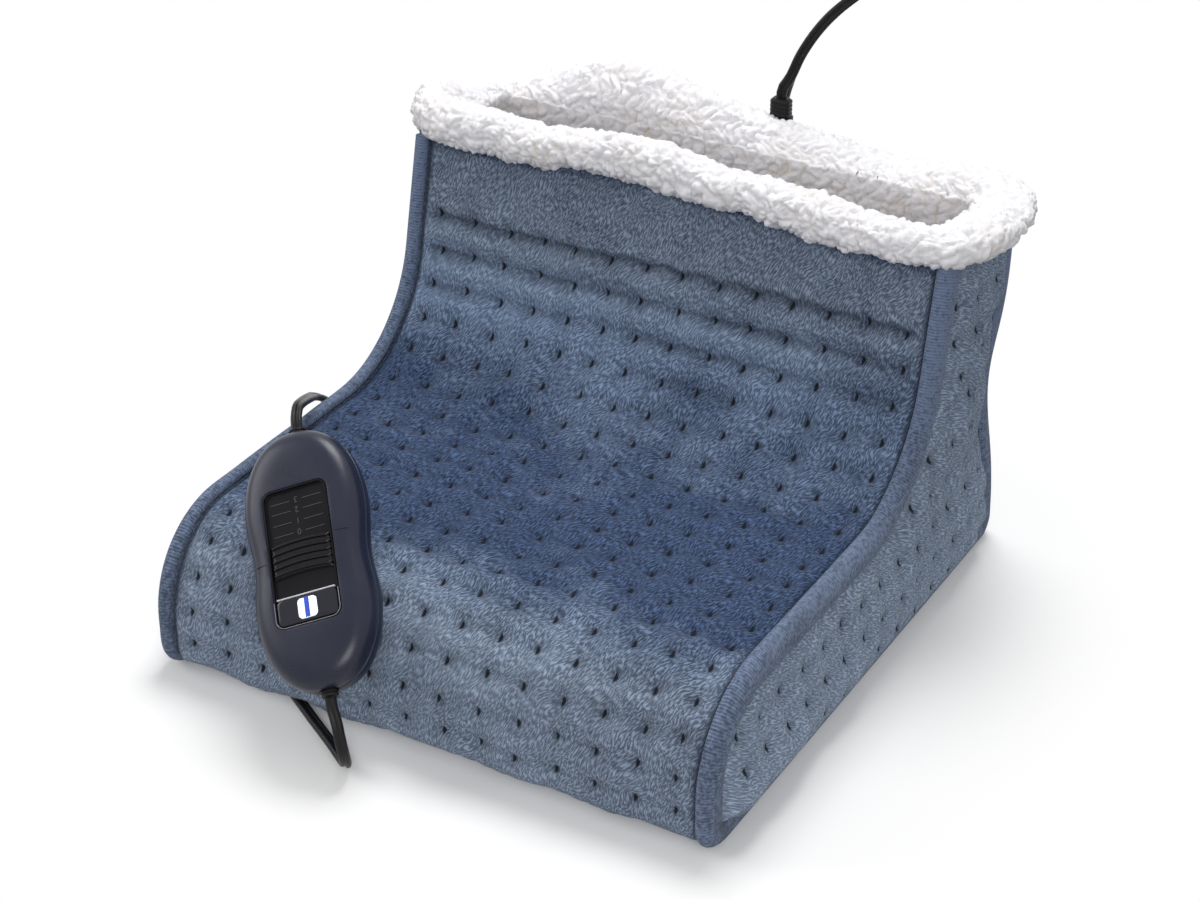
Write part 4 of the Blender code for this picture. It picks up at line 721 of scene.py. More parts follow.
def distance_inside(points, y, z):
    """Distance from each point to a closed Y-Z outline, negative outside it."""
    line = np.array(points)
    ends = np.roll(line, -1, axis=0)
    nearest = np.full(len(y), np.inf)
    inside = np.zeros(len(y), bool)
    closest = np.zeros((len(y), 2))
    for a, b in zip(line, ends):
        span = b - a
        size = span @ span
        if size < 1e-14:
            continue
        share = np.clip(((y - a[0]) * span[0] + (z - a[1]) * span[1]) / size, 0, 1)
        py, pz = a[0] + span[0] * share, a[1] + span[1] * share
        gap = np.hypot(y - py, z - pz)
        better = gap < nearest
        nearest = np.where(better, gap, nearest)
        closest[better] = beside(py, pz)[better]
        if a[1] != b[1]:
            crossing = ((a[1] > z) != (b[1] > z)) & (y < a[0] + span[0] * (z - a[1]) / span[1])
            inside ^= crossing
    return np.where(inside, nearest, -nearest), closest


# Quilted cover

COVER_TOP, SIDE_TUFT_TOP = 0.1910, 0.187
STRIP_EDGE, WAIST = 0.0030, 0.046
# How strongly the cloth folds along each row of tufts, and so how dark the painted shade in each fold
# is, from the top row down
ROLLS = (1.0, 0.85, 0.70, 0.50, 0.40) + (0.30,) * 8 + (0.20,) * 5


def quilting(x, s, columns, rows, seed):
    """Cloth drawn in at tufts: its puffs, pull and painted shade, and its offsets from the nearest
    tuft.
    """
    rng = np.random.default_rng(seed)
    (first_x, pitch_x, count_x), (first_s, pitch_s, count_s) = columns, rows
    shift = rng.normal(0.0, 0.0006, (2, count_x, count_s))
    i = np.clip(np.rint((x - first_x) / pitch_x), 0, count_x - 1).astype(int)
    j = np.clip(np.rint((s - first_s) / pitch_s), 0, count_s - 1).astype(int)
    off_x = x - first_x - i * pitch_x + shift[0][i, j]
    off_s = s - first_s - j * pitch_s + shift[1][i, j]
    r = np.hypot(off_x, off_s)
    pit = bell(r, 0.0019)
    bowl = bell(r, 0.0058)
    pillow = 0.5 - 0.25 * (
        np.cos(math.tau * (x - first_x) / pitch_x) + np.cos(math.tau * (s - first_s) / pitch_s)
    )
    near = 1 - step_up(r, 0.0032, 0.0052)
    drawn = -sizes().tuft_depth * (0.55 * pit + 0.45 * bowl)
    # The third value is painted shade, darkest at each tuft's pit and fading over its bowl.
    return pillow, drawn, 0.35 * bowl + 0.5 * pit, off_x, off_s, near


def waisted(points):
    """Draws the two rear corners in at mid height, as the soft leg does."""
    share = step_up(points[:, 1], 0.112, 0.158) * bell(points[:, 2] - 0.088, 0.040)
    points[:, 0] *= 1 - WAIST * share
    return points


def write_quilting(obj, off_x, off_s, near, shade, tone, blue):
    names = ("tuft_x", "tuft_s", "near", "shade", "tone", "blue")
    for name, values in zip(names, (off_x, off_s, near, shade, tone, blue)):
        write_attribute(obj, name, values)


def front_nap_and_painted_light(x, s):
    """Painted light and shade, with how the nap lies: pale rolls under the plain band, a navy hollow, a
    dark toe top and a pale toe.
    """
    drifted = s + 0.010 * waves(x, s, 0.075, 21)
    along = np.interp(
        drifted, (0.0, 0.030, 0.046, 0.060, 0.086, 0.108, 0.150, 0.190, 0.235, 0.262, 0.300, 0.420),
        (0.12, 0.11, 0.20, 0.46, 0.20, -0.08, -0.31, -0.62, -0.62, -0.27, 0.34, 0.32),
    )
    # Painted shadow in a band just under the collar's hem.
    under = (COVER_TOP - np.interp(x, *np.array(FRONT_HEM).T)) * 1.025 + 0.0028
    along -= 0.42 * bell(s - under, 0.0030)
    # Painted light on the left rolls; painted shade on the right rolls, in the hollow and on the toe.
    rolls = 0.38 * step_up(-x, -0.02, 0.10) - 0.34 * step_up(x, 0.04, 0.12)
    rolls *= bell(s - 0.070, 0.030)
    hollow = bell(s - 0.130, 0.035) * 0.30 * step_up(-x, 0.02, 0.10)
    toe = 0.30 * step_up(x, 0.020, 0.090) * bell(s - 0.205, 0.050)
    toe += (0.16 * step_up(x, 0.05, 0.11) - 0.12 * bell(x, 0.075)) * step_up(s, 0.27, 0.31)
    return along + rolls - hollow - toe + 0.050 * waves(x, s, 0.060, 22)


def strip(name, line, columns, rows, first_s, row_count, puff_share, tone, rolls, seed):
    """Quilted cloth that follows a side line from edge to edge."""
    half = sizes().body_width / 2 - STRIP_EDGE
    obj, u, v = grid(name, columns, rows)
    x, s = (u * 2 - 1) * half, v * line.length
    y, z, out_y, out_z = line.at(s)
    first_x = -(TUFT_COLUMNS - 1) * TUFT_PITCH / 2
    pillow, drawn, shade, off_x, off_s, near = quilting(
        x, s, (first_x, TUFT_PITCH, TUFT_COLUMNS), (first_s, TUFT_ROW_PITCH, row_count), seed
    )
    last_s = first_s + (row_count - 1) * TUFT_ROW_PITCH
    inside = step_up(s, first_s - TUFT_ROW_PITCH * 0.8, first_s) * (
        1 - step_up(s, last_s, last_s + TUFT_ROW_PITCH * 0.8)
    )
    band = inside * (1 - step_up(np.abs(x), -first_x, -first_x + TUFT_PITCH * 0.45))
    lift = pillow * sizes().puff * puff_share(s) * band + drawn
    across = 1 - 0.8 * step_up(np.abs(x), half - 0.0120, half - 0.0060)
    scallop = np.abs(np.sin(math.pi * (x - first_x) / TUFT_PITCH)) ** 0.8 * (
        0.0008 + 0.0026 * step_up(x, -0.070, -0.010) * (1 - 0.5 * step_up(x, 0.090, 0.120))
    )
    patchy = np.clip(0.70 + 0.50 * waves(x, s * 0.6, 0.060, seed + 9), 0.20, 1.15)
    for j, strength in enumerate(rolls):
        if j:
            strength = strength * patchy
        gap = s - (first_s + j * TUFT_ROW_PITCH - scallop * (1.0 if j == 0 else 0.6))
        fold = np.where(gap < 0, bell(gap, 0.0016), bell(gap, 0.0034)) * across * strength
        puffed = bell(gap - TUFT_ROW_PITCH * 0.45, 0.0062) * across * strength
        lift += 0.0022 * puffed - 0.0019 * fold
        # Painted shade along each fold.
        shade = np.maximum(shade, 1.05 * fold)
    lift += 0.0009 * waves(x, s, 0.065, seed + 1) + 0.00030 * waves(x, s, 0.012, seed + 2)
    edge = step_up(np.abs(x), half - 0.0075, half - 0.0028)
    seam = bell(np.abs(x) - half + 0.0040, 0.0016)
    lift = lift * (1 - edge) - 0.0006 * edge - 0.0011 * seam
    z = np.maximum(z + out_z * lift, LEAST_CLOTH_HEIGHT)
    write_points(obj, waisted(beside(x, y + out_y * lift, z)))
    blue = np.interp(s, (0.035, 0.085, 0.250, 0.300), (0.0, 1.0, 1.0, 0.0))
    # Painted shade in the seam's groove beside the tape.
    shade = np.clip(np.maximum(shade, 1.3 * seam), 0, 1.4)
    write_quilting(obj, off_x, off_s, near, shade, tone(x, s), blue)
    scale_uv(obj, 2 * half, line.length)
    face_away(obj)
    modify(obj, "SOLIDIFY", thickness=CLOTH_THICK, offset=-1.0, use_even_offset=False)
    points = read_points(obj)
    points[:, 2] = np.maximum(points[:, 2], 0.0004)
    write_points(obj, points)
    smooth(obj)
    return obj


def outlined_sheet(name, outline, pitch):
    """A grid in the Y-Z plane cut to an outline, with each vertex's place and its distance inside."""
    low, high = np.min(outline, axis=0), np.max(outline, axis=0)
    columns, rows = np.ceil((high - low) / pitch).astype(int)
    obj, u, v = grid(name, int(columns), int(rows))
    y, z = low[0] + u * (high[0] - low[0]), low[1] + v * (high[1] - low[1])
    write_points(obj, beside(0 * y, y, z))
    scale_uv(obj, high[0] - low[0], high[1] - low[1])
    delete_where(obj, "VERT", distance_inside(outline, y, z)[0] < -pitch * 0.75)
    points = read_points(obj)
    inside, closest = distance_inside(outline, points[:, 1], points[:, 2])
    near = inside < pitch * 0.55
    points[:, 1:] = np.where(near[:, None], closest, points[:, 1:])
    write_points(obj, points)
    edit(obj)
    bpy.ops.mesh.remove_doubles(threshold=pitch * 0.15)
    bpy.ops.mesh.dissolve_degenerate(threshold=pitch * 0.10)
    done()
    facing = np.array([face.normal.x for face in obj.data.polygons])
    delete_where(obj, "FACE", facing * np.sign(facing.sum()) < 0.5)
    points = read_points(obj)
    inside, _ = distance_inside(outline, points[:, 1], points[:, 2])
    return obj, points[:, 1], points[:, 2], np.where(inside < pitch * 0.1, 0.0, inside)


def side_cover(name, side):
    """Crowned side cloth with its own tufts and a soft diagonal fold."""
    outline = side_line(0.0006, 0.0020, COVER_TOP)
    obj, y, z, inside = outlined_sheet(name, outline, 0.0015)
    first = (TOE_FRONT + SIDE_TUFT_FRONT, SIDE_TUFT_LOW)
    counts = (15, 10)
    pillow, drawn, shade, off_y, off_z, near = quilting(
        y, z, (first[0], TUFT_PITCH, counts[0]), (first[1], TUFT_ROW_PITCH, counts[1]), 31 + side
    )
    i = np.clip(np.rint((y - first[0]) / TUFT_PITCH), 0, counts[0] - 1)
    j = np.clip(np.rint((z - first[1]) / TUFT_ROW_PITCH), 0, counts[1] - 1)
    at_tuft, _ = distance_inside(outline, first[0] + i * TUFT_PITCH, first[1] + j * TUFT_ROW_PITCH)
    real = (at_tuft > SIDE_TUFT_EDGE) & (z < SIDE_TUFT_TOP)
    ends = step_up(y - TOE_FRONT, 0.010, 0.030) * step_up(BACK_FACE - y, 0.010, 0.030)
    low = 0.0120 * bell(z, 0.026) * step_up(inside, 0.0008, 0.0060) * ends
    body = step_up(inside + low, 0.0075, 0.0240)
    lift = 0.0052 * body + 0.0034 * body * bell(z - 0.022, 0.020)
    puffed = np.where(real, drawn + pillow * sizes().puff * 1.1, pillow * sizes().puff * 0.7)
    lift += puffed * step_up(inside, 0.008, 0.016)
    lift += 0.0013 * waves(y, z, 0.055, 41 + side) * step_up(inside, 0.006, 0.02)
    crease = (z - 0.115) * 0.82 - (y - 0.115) * 0.57
    reach = step_up(y, 0.035, 0.075) * (1 - step_up(y, 0.150, 0.158)) * step_up(inside, 0.006, 0.018)
    lift -= 0.0042 * bell(crease, 0.0070) * reach
    lift += 0.0018 * bell(crease - 0.014, 0.0090) * reach
    write_points(obj, waisted(beside(side * (sizes().body_width / 2 + lift), y, z)))
    # Painted shade in the tufts' dents, and a painted shadow beside the tape, which stands proud of the
    # cloth.
    tape_shadow = 0.45 * (1 - step_up(inside, 0.0078, 0.0125))
    shade = np.where(real, shade, 0.0) * step_up(inside, 0.008, 0.012) + tape_shadow
    # Painted light and shade: the side cloth is lighter low down and darker higher up; the waves add
    # random tone.
    tone = 0.42 + np.interp(z, (0.0, 0.070, 0.120, 0.195), (0.18, 0.16, 0.04, 0.06))
    tone += 0.09 * waves(y, z, 0.045, 45)
    write_quilting(obj, off_y, off_z, np.where(real, near, 0.0), np.clip(shade, 0, 1), tone, 0 * y)
    face_away(obj)
    modify(obj, "SOLIDIFY", thickness=CLOTH_THICK, offset=-1.0)
    smooth(obj)
    return obj


def front_puff(s):
    """How full the front's puffs are: most under the plain band and below the toe."""
    full = 0.55 + 0.95 * (1 - step_up(s, 0.085, 0.150))
    return full + 0.25 * step_up(s, 0.23, 0.30) + 0.7 * step_up(s, 0.34, 0.37)


def back_puff(s):
    return 0.8 + 0 * s


def back_tone(x, s):
    return 0.08 + 0.07 * waves(x, s, 0.05, 23)


class WARMER_OT_cover(bpy.types.Operator):
    """Tufted cover: front strip, back, both sides and the sole"""

    bl_idname = "warmer.cover"
    bl_label = "Tufted cover"

    def execute(self, context):
        front = Line(front_line(top=COVER_TOP))
        first = PLAIN_BAND - SHELL_TOP + COVER_TOP
        piece = strip(
            "instep_cover", front, 230, 312, first, TUFT_ROWS, front_puff, front_nap_and_painted_light, ROLLS, 3
        )
        seat(piece, "plush", "plush", BOOT, "instep_panel")
        back = Line(back_line(top=COVER_TOP))
        first = back.length - BACK_PLAIN_BAND + SHELL_TOP - COVER_TOP
        first -= (BACK_TUFT_ROWS - 1) * TUFT_ROW_PITCH
        piece = strip("back_cover", back, 190, 128, first, BACK_TUFT_ROWS, back_puff, back_tone, (), 5)
        seat(piece, "plush", "plush", BOOT, "back_panel")
        for name, side in (("left", -1), ("right", 1)):
            piece = side_cover(f"{name}_side_cover", side)
            seat(piece, "plush side painted lighter", "plush", BOOT, f"{name}_side_panel")
        low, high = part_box("sole_panel")
        obj, u, v = grid("sole_cover", 60, 60)
        x, y = low[0] + u * (high[0] - low[0]), low[1] + v * (high[1] - low[1])
        write_points(obj, beside(x, y, 0.0007 + 0.0002 * waves(x, y, 0.05, 9)))
        scale_uv(obj, high[0] - low[0], high[1] - low[1])
        face_away(obj)
        modify(obj, "SOLIDIFY", thickness=0.004, offset=-1.0)
        smooth(obj, 40)
        seat(obj, "sole cloth", "plush", BOOT, "sole_panel")
        return {"FINISHED"}


# Binding

TAPE_LOW, TAPE_TOP, TAPE_STATIONS = 0.0024, 0.1880, 420
STITCH_PITCH, STITCH_LENGTH, STITCH_INSET = 0.0042, 0.0029, 0.0073
TAPE_SECTION = (
    # reach in from the side face, height off the cloth
    (0.0060, -0.0006), (0.0062, 0.0009), (0.0056, 0.0023), (0.0042, 0.0033), (0.0024, 0.0035),
    (0.0007, 0.0027), (-0.0008, 0.0012), (-0.0021, -0.0006), (-0.0027, -0.0026),
    (-0.0027, -0.0050), (-0.0024, -0.0075), (-0.0017, -0.0094), (-0.0006, -0.0100),
    (0.0001, -0.0092), (0.0002, -0.0050), (0.0008, -0.0012), (0.0040, -0.0004),
)


def binding(name, side):
    """Rounded tape along a side's whole edge, up to the collar."""
    line = Line(side_line(0.0, TAPE_LOW, TAPE_TOP))
    count = TAPE_STATIONS
    s = np.linspace(0.0, line.length, count)
    y, z, out_y, out_z = line.at(s)
    loops = []
    face = sizes().body_width / 2
    swell = 1 + 0.05 * waves(s, s * 0, 0.045, 60 + side)
    for k in range(count):
        loop = []
        for reach, height in TAPE_SECTION:
            h = height * (swell[k] if height > 0 else 1.0)
            level = max(z[k] + out_z[k] * h, FLOOR_GAP)
            loop.append((side * (face - reach), y[k] + out_y[k] * h, level))
        loops.append(loop)
    loops = np.array(loops)
    loops = waisted(loops.reshape(-1, 3)).reshape(loops.shape)
    obj = skin(name, loops)
    scale_uv(obj, 0.030, line.length)
    smooth(obj, 60)
    return obj


def stitches(name, side, line):
    """A row of short thread stitches beside the tape."""
    face = sizes().body_width / 2
    count = int((line.length - 0.03) / STITCH_PITCH)
    deselect()
    bpy.ops.mesh.primitive_cylinder_add(vertices=6, radius=0.00032, depth=STITCH_LENGTH)
    one = bpy.context.object
    edit(one)
    bpy.ops.mesh.bevel(offset=0.00015, segments=1, affect="EDGES")
    done()
    shape = read_points(one)
    parts = []
    for k in range(count):
        s = 0.012 + k * STITCH_PITCH
        y, z, oy, oz = (float(v) for v in line.at(np.array(s)))
        along = Vector((0.0, -oz, oy))
        up = Vector((0.0, oy, oz))
        across = along.cross(up)
        centre = Vector((side * (face - STITCH_INSET), y, z)) + up * (0.00005 - 0.0006)
        turn = Matrix((across, up, along)).transposed()
        parts.append(np.array([turn @ Vector(p) + centre for p in shape]))
    faces = [tuple(p.vertices) for p in one.data.polygons]
    points = np.concatenate(parts)
    every = [tuple(i + k * len(shape) for i in f) for k in range(count) for f in faces]
    one.data.clear_geometry()
    one.data.from_pydata([tuple(p) for p in points], [], every)
    one.name = one.data.name = name
    smooth(one, 50)
    return one


class WARMER_OT_binding(bpy.types.Operator):
    """Ribbed binding tape and its stitches, on both sides"""

    bl_idname = "warmer.binding"
    bl_label = "Binding"

    def execute(self, context):
        for name, side in (("left", -1), ("right", 1)):
            piece = binding(f"{name}_tape", side)
            seat(piece, "tape", "tape", BOOT, f"{name}_binding")
            row = stitches(f"{name}_stitches", side, Line(front_line(top=TAPE_TOP)))
            seat(row, "thread", "tape", BOOT)
        return {"FINISHED"}


# Curly pile

CLUMPS = ((1.40, 0.50), (0.80, 0.38), (0.42, 0.12))
# X against height of the front roll's ridge, the rear rim and the front hem, before the pile is raised
FRONT_RIM = (
    (-0.165, 0.2070), (-0.126, 0.2100), (-0.097, 0.2100), (-0.071, 0.2085), (-0.050, 0.2110),
    (-0.032, 0.2135), (-0.007, 0.2145), (0.019, 0.2105), (0.045, 0.2085), (0.071, 0.2060),
    (0.097, 0.2045), (0.122, 0.2030), (0.148, 0.2015), (0.165, 0.2050),
)
REAR_RIM = (
    (-0.165, 0.1925), (-0.146, 0.1935), (-0.128, 0.1950), (-0.105, 0.2055), (-0.085, 0.2150),
    (-0.060, 0.2170), (-0.034, 0.2125), (-0.007, 0.2070), (0.027, 0.2025), (0.065, 0.1965),
    (0.091, 0.1960), (0.117, 0.2005), (0.140, 0.1990), (0.165, 0.1950),
)
FRONT_HEM = (
    (-0.165, 0.1865), (-0.126, 0.1900), (-0.084, 0.1895), (-0.055, 0.1925), (-0.014, 0.1935),
    (0.019, 0.1915), (0.045, 0.1910), (0.071, 0.1868), (0.097, 0.1852), (0.122, 0.1862),
    (0.148, 0.1865), (0.165, 0.1885),
)


def curls(points, normals, size, height, seed):
    """Points raised into soft clumps of three sizes, and how deep each lies between them."""
    rng = np.random.default_rng(seed)
    x, y, z = points.T
    drift = [waves(a, b, size * 2.4, seed + k) for k, (a, b) in enumerate(((y, z), (z, x), (x, y)), 1)]
    warped = points + beside(*drift) * size * 0.30
    raised = np.zeros(len(points))
    sway = np.zeros_like(points)
    for scale, share in CLUMPS:
        cell = size * scale
        keys = np.floor(warped / cell + rng.uniform(0, 1, 3)).astype(np.int64)
        order = rng.permutation(len(points))
        _, first = np.unique(keys[order], axis=0, return_index=True)
        centres = warped[order[first]] + rng.normal(0, cell * 0.15, (len(first), 3))
        tree = KDTree(len(centres))
        for k, centre in enumerate(centres):
            tree.insert(centre, k)
        tree.balance()
        tall = rng.uniform(0.70, 1.20, len(centres))
        lean = rng.normal(0, 0.18, (len(centres), 3))
        near = np.empty((len(points), 2))
        which = np.empty(len(points), int)
        for k, point in enumerate(warped):
            (_, a, da), (_, _, db) = tree.find_n(point, 2)
            near[k], which[k] = (da, db), a
        border = np.clip((near[:, 1] - near[:, 0]) / (cell * 0.62), 0.0, 1.0)
        dome = (1 - (1 - border) ** 2) * tall[which]
        raised += dome * share
        sway += lean[which] * (dome * share)[:, None]
    sway -= normals * np.sum(sway * normals, axis=1)[:, None]
    moved = points + normals * (raised * height)[:, None] + sway * height
    return moved, np.clip(1.0 - raised / 0.72, 0.0, 1.0)


def collar_loops(stations, around):
    """The rolled cuff before its pile: its rim rises and dips, its inner side falls inwards."""
    half = sizes().body_width / 2
    radius = 0.022
    front, back = leg_front_at(0.192), BACK_FACE
    plan = np.array(rounded_rectangle(-half, half, front, back, radius, 16, 40))
    closed = np.concatenate([plan, plan[:1]])
    runs = np.hypot(*np.diff(closed, axis=0).T)
    reach = np.concatenate([[0], np.cumsum(runs)])
    t = np.arange(stations) * reach[-1] / stations
    x, y = (np.interp(t, reach, closed[:, k]) for k in (0, 1))
    ahead = [np.interp((t + 0.002) % reach[-1], reach, closed[:, k]) for k in (0, 1)]
    behind = [np.interp((t - 0.002) % reach[-1], reach, closed[:, k]) for k in (0, 1)]
    run = beside(ahead[0] - behind[0], ahead[1] - behind[1])
    run /= np.hypot(*run.T)[:, None]
    out = beside(run[:, 1], -run[:, 0])
    rear = step_up(y, front + 0.015, back - 0.010)
    end_right = step_up(x, half - 0.02, half)
    rims = [np.interp(x, *np.array(rim).T) for rim in (FRONT_RIM, REAR_RIM, FRONT_HEM)]
    top = rims[0] * (1 - rear) + rims[1] * rear + 0.0008 * waves(x, y, 0.05, 71)
    bottom = rims[2] * (1 - rear) + 0.1860 * rear + 0.0009 * waves(x, y, 0.030, 72)
    top = np.maximum(top, bottom + 0.0085)
    outer = 0.0105 + 0.0065 * end_right - 0.0015 * rear * (1 - end_right)
    outer += 0.0012 * waves(x, y, 0.06, 73)
    inner = 0.0150 - 0.0030 * rear + 0.0008 * waves(x, y, 0.06, 74)
    angle = np.arange(around) * math.tau / around
    c, s = np.cos(angle), np.sin(angle)
    power = 2 / 2.5
    round_c, round_s = np.sign(c) * np.abs(c) ** power, np.sign(s) * np.abs(s) ** power
    middle, wide = (outer - inner) / 2, (outer + inner) / 2
    level, tall = (top + bottom) / 2, (top - bottom) / 2
    n = middle[:, None] + wide[:, None] * round_c
    z = level[:, None] + tall[:, None] * round_s
    share = (z - bottom[:, None]) / (top - bottom)[:, None]
    full = np.clip((top - bottom - 0.004) / 0.018, 0, 1)[:, None]
    fall = 0.0100 * step_up(-n, -0.0020, 0.0145) * full
    z = z - fall * share
    lean = -(z - 0.192) * LEG_LEAN_SLOPE * (1 - rear)[:, None] * 0.35
    px = x[:, None] + out[:, :1] * n
    py = y[:, None] + out[:, 1:] * n - lean
    return np.stack([px, py, z], axis=2)


def vertex_normals(obj):
    flat = np.empty(len(obj.data.vertices) * 3)
    obj.data.vertices.foreach_get("normal", flat)
    return flat.reshape(-1, 3)


class WARMER_OT_collar(bpy.types.Operator):
    """Collar of curly pile, rolled over the mouth"""

    bl_idname = "warmer.collar"
    bl_label = "Pile collar"

    def execute(self, context):
        loops = collar_loops(*(((900, 116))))
        obj = skin("pile_collar", loops, ring=True)
        points, normals = read_points(obj), vertex_normals(obj)
        moved, deep = curls(points, normals, sizes().curl, sizes().pile_height, 81)
        write_points(obj, moved)
        write_attribute(obj, "deep", deep)
        smooth(obj)
        seat(obj, "pile", "sherpa", BOOT, "sherpa_collar")
        return {"FINISHED"}


LINING_THICK, LINING_HALF, LINING_LOW = 0.003, 0.1362, 0.0245
LINING_INSET, LINING_FLOOR, LINING_BACK, LINING_SOLE = 0.0105, 0.0150, 0.0128, 0.0195


def pile_over(obj, points, inward, seed):
    """Raises pile over an open sheet and gives the sheet its backing."""
    moved, deep = curls(points, inward, sizes().curl, sizes().pile_height * 0.8, seed)
    write_points(obj, moved)
    write_attribute(obj, "deep", deep)
    edit(obj)
    bpy.ops.mesh.normals_make_consistent(inside=False)
    done()
    if np.sum(vertex_normals(obj) * inward, axis=1).mean() < 0:
        edit(obj)
        bpy.ops.mesh.flip_normals()
        done()
    modify(obj, "SOLIDIFY", thickness=LINING_THICK, offset=-1.0, use_even_offset=False)
    smooth(obj)
    return obj


class WARMER_OT_lining(bpy.types.Operator):
    """Pile lining: front, sides, back and sole"""

    bl_idname = "warmer.lining"
    bl_label = "Pile lining"

    def execute(self, context):
        def front(u, v):
            inside = front_line(LINING_INSET, LINING_FLOOR, LINING_TOP)
            line = Line([p for p in inside if p[1] > LINING_LOW])
            y, z, oy, oz = line.at(v * line.length)
            return y, z, beside(0 * u, -oy, -oz)

        def rear(u, v):
            y, z = 0 * u + BACK_FACE - LINING_BACK, LINING_LOW + v * (LINING_TOP - LINING_LOW)
            return y, z, beside(0 * u, 0 * u - 1, 0 * u)

        def floor(u, v):
            y = TOE_FRONT + 0.018 + v * (BACK_FACE - 0.0175 - TOE_FRONT - 0.018)
            return y, 0 * u + LINING_SOLE, beside(0 * u, 0 * u, 0 * u + 1)

        coarse = 1
        for name, (columns, rows), place, node, seed in (
            ("instep_lining", (112, 140), front, "lining_instep", 91),
            ("back_lining", (264, 168), rear, "lining_back", 92),
            ("sole_lining", (96, 100), floor, "lining_sole", 93),
        ):
            obj, u, v = grid(name, columns // coarse, rows // coarse)
            y, z, inward = place(u, v)
            piece = pile_over(obj, beside((u * 2 - 1) * LINING_HALF, y, z), inward, seed)
            seat(piece, "pile lining", "sherpa", BOOT, node)
        for name, side in (("left", -1), ("right", 1)):
            outline = side_line(LINING_INSET, LINING_FLOOR, LINING_TOP)
            obj, y, z, _ = outlined_sheet(f"{name}_lining", outline, 0.0022 * coarse)
            points = beside(0 * y + side * LINING_HALF, y, z)
            piece = pile_over(obj, points, beside(0 * y - side, 0 * y, 0 * y), 94 + side)
            seat(piece, "pile lining", "sherpa", BOOT, f"lining_{name}")
        return {"FINISHED"}


# Cords

def smooth_points(route, step):
    """Evenly spaced points of a smooth curve, whose two end runs stay straight."""
    knots = [np.array(p, float) for p in route]
    dense = []
    for a, b, c, d in zip(knots, knots[1:], knots[2:], knots[3:]):
        for i in range(16):
            t = i / 16
            square, cube = 2 * a - 5 * b + 4 * c - d, 3 * b - a - 3 * c + d
            dense.append(b + ((c - a) * t + square * t * t + cube * t**3) / 2)
    dense = np.array([knots[0], *dense, knots[-2], knots[-1]])
    runs = np.linalg.norm(np.diff(dense, axis=0), axis=1)
    reach = np.concatenate([[0], np.cumsum(runs)])
    count = max(int(round(reach[-1] / step)), 8)
    s = np.linspace(0, reach[-1], count + 1)
    return np.stack([np.interp(s, reach, dense[:, k]) for k in range(3)], axis=1)


def coil_points():
    x, y = COIL_CENTRE
    turns = 2 * COIL_TURNS + 0.5
    count = round(turns * COIL_POINTS)
    points = []
    for i in range(count + 1):
        turn = i / COIL_POINTS
        radius = COIL_RADIUS - COIL_PITCH * min(turn, turns - turn)
        z = COIL_LOW + COIL_PITCH * min(max((turn - COIL_TURNS) / 0.5, 0.0), 1.0)
        angle = math.pi / 2 - math.tau * turn
        points.append((x + radius * math.cos(angle), y + radius * math.sin(angle), z))
    return points


def case_frame():
    """The controller's place: its Y runs up to the lead, its Z out of the window."""
    tilt, turn = math.radians(CASE_TILT), math.radians(CASE_TURN)
    down = Vector((math.sin(turn), -math.cos(tilt) * math.cos(turn), -math.sin(tilt) * math.cos(turn)))
    normal = Vector((0.0, -math.sin(tilt), math.cos(tilt)))
    made = Matrix((normal.cross(down), -down, normal)).transposed().to_4x4()
    made.translation = CASE_CENTRE
    return made


def case_end(sign, run=0.0):
    return tuple(case_frame() @ Vector((0.0, sign * (BUSHING_REACH + run), 0.0)))


FLAT_SECTION = (
    # share of half width, share of half thickness: two round cores with a groove between
    (1.0, 0.0), (0.94, 0.55), (0.76, 0.93), (0.50, 1.0), (0.26, 0.90), (0.09, 0.62), (-0.09, 0.62),
    (-0.26, 0.90), (-0.50, 1.0), (-0.76, 0.93), (-0.94, 0.55), (-1.0, 0.0), (-0.94, -0.55),
    (-0.76, -0.93), (-0.50, -1.0), (-0.26, -0.90), (-0.09, -0.62), (0.09, -0.62), (0.26, -0.90),
    (0.50, -1.0), (0.76, -0.93), (0.94, -0.55),
)


def flat_cord(name, points, first_up):
    """A flat two-core flex that twists only as its route makes it, and lies flat on the floor."""
    points = np.asarray(points)
    runs = np.gradient(points, axis=0)
    runs /= np.linalg.norm(runs, axis=1)[:, None]
    up = np.array(first_up, float)
    loops = []
    for point, run in zip(points, runs):
        up = up - run * (up @ run)
        up /= np.linalg.norm(up)
        flat = np.array([0.0, 0.0, 1.0]) - run * run[2]
        pull = 0.10 * max(1 - abs(run[2]) * 1.6, 0.0) * (1.0 if point[2] < 0.03 else 0.15)
        if flat @ up < 0:
            flat = -flat
        up = up + flat * pull
        up /= np.linalg.norm(up)
        side = np.cross(run, up)
        loop = np.array([
            point + side * (a * CORD_WIDTH / 2) + up * (b * CORD_THICK / 2) for a, b in FLAT_SECTION
        ])
        loop[:, 2] += max(FLOOR_GAP - loop[:, 2].min(), 0.0)
        loops.append(loop)
    obj = skin(name, loops)
    smooth(obj, 60)
    return obj


def settle(points):
    """Lets the stretches on the floor lie on it: the flex is thinner than its CAD solid."""
    points = np.array(points)
    low = CORD_THICK / 2 + FLOOR_GAP
    drop = CORD_LOW - low
    share = 1 - step_up(points[:, 2], 0.0030, 0.012)
    points[:, 2] = np.maximum(points[:, 2] - drop * share, low)
    return points


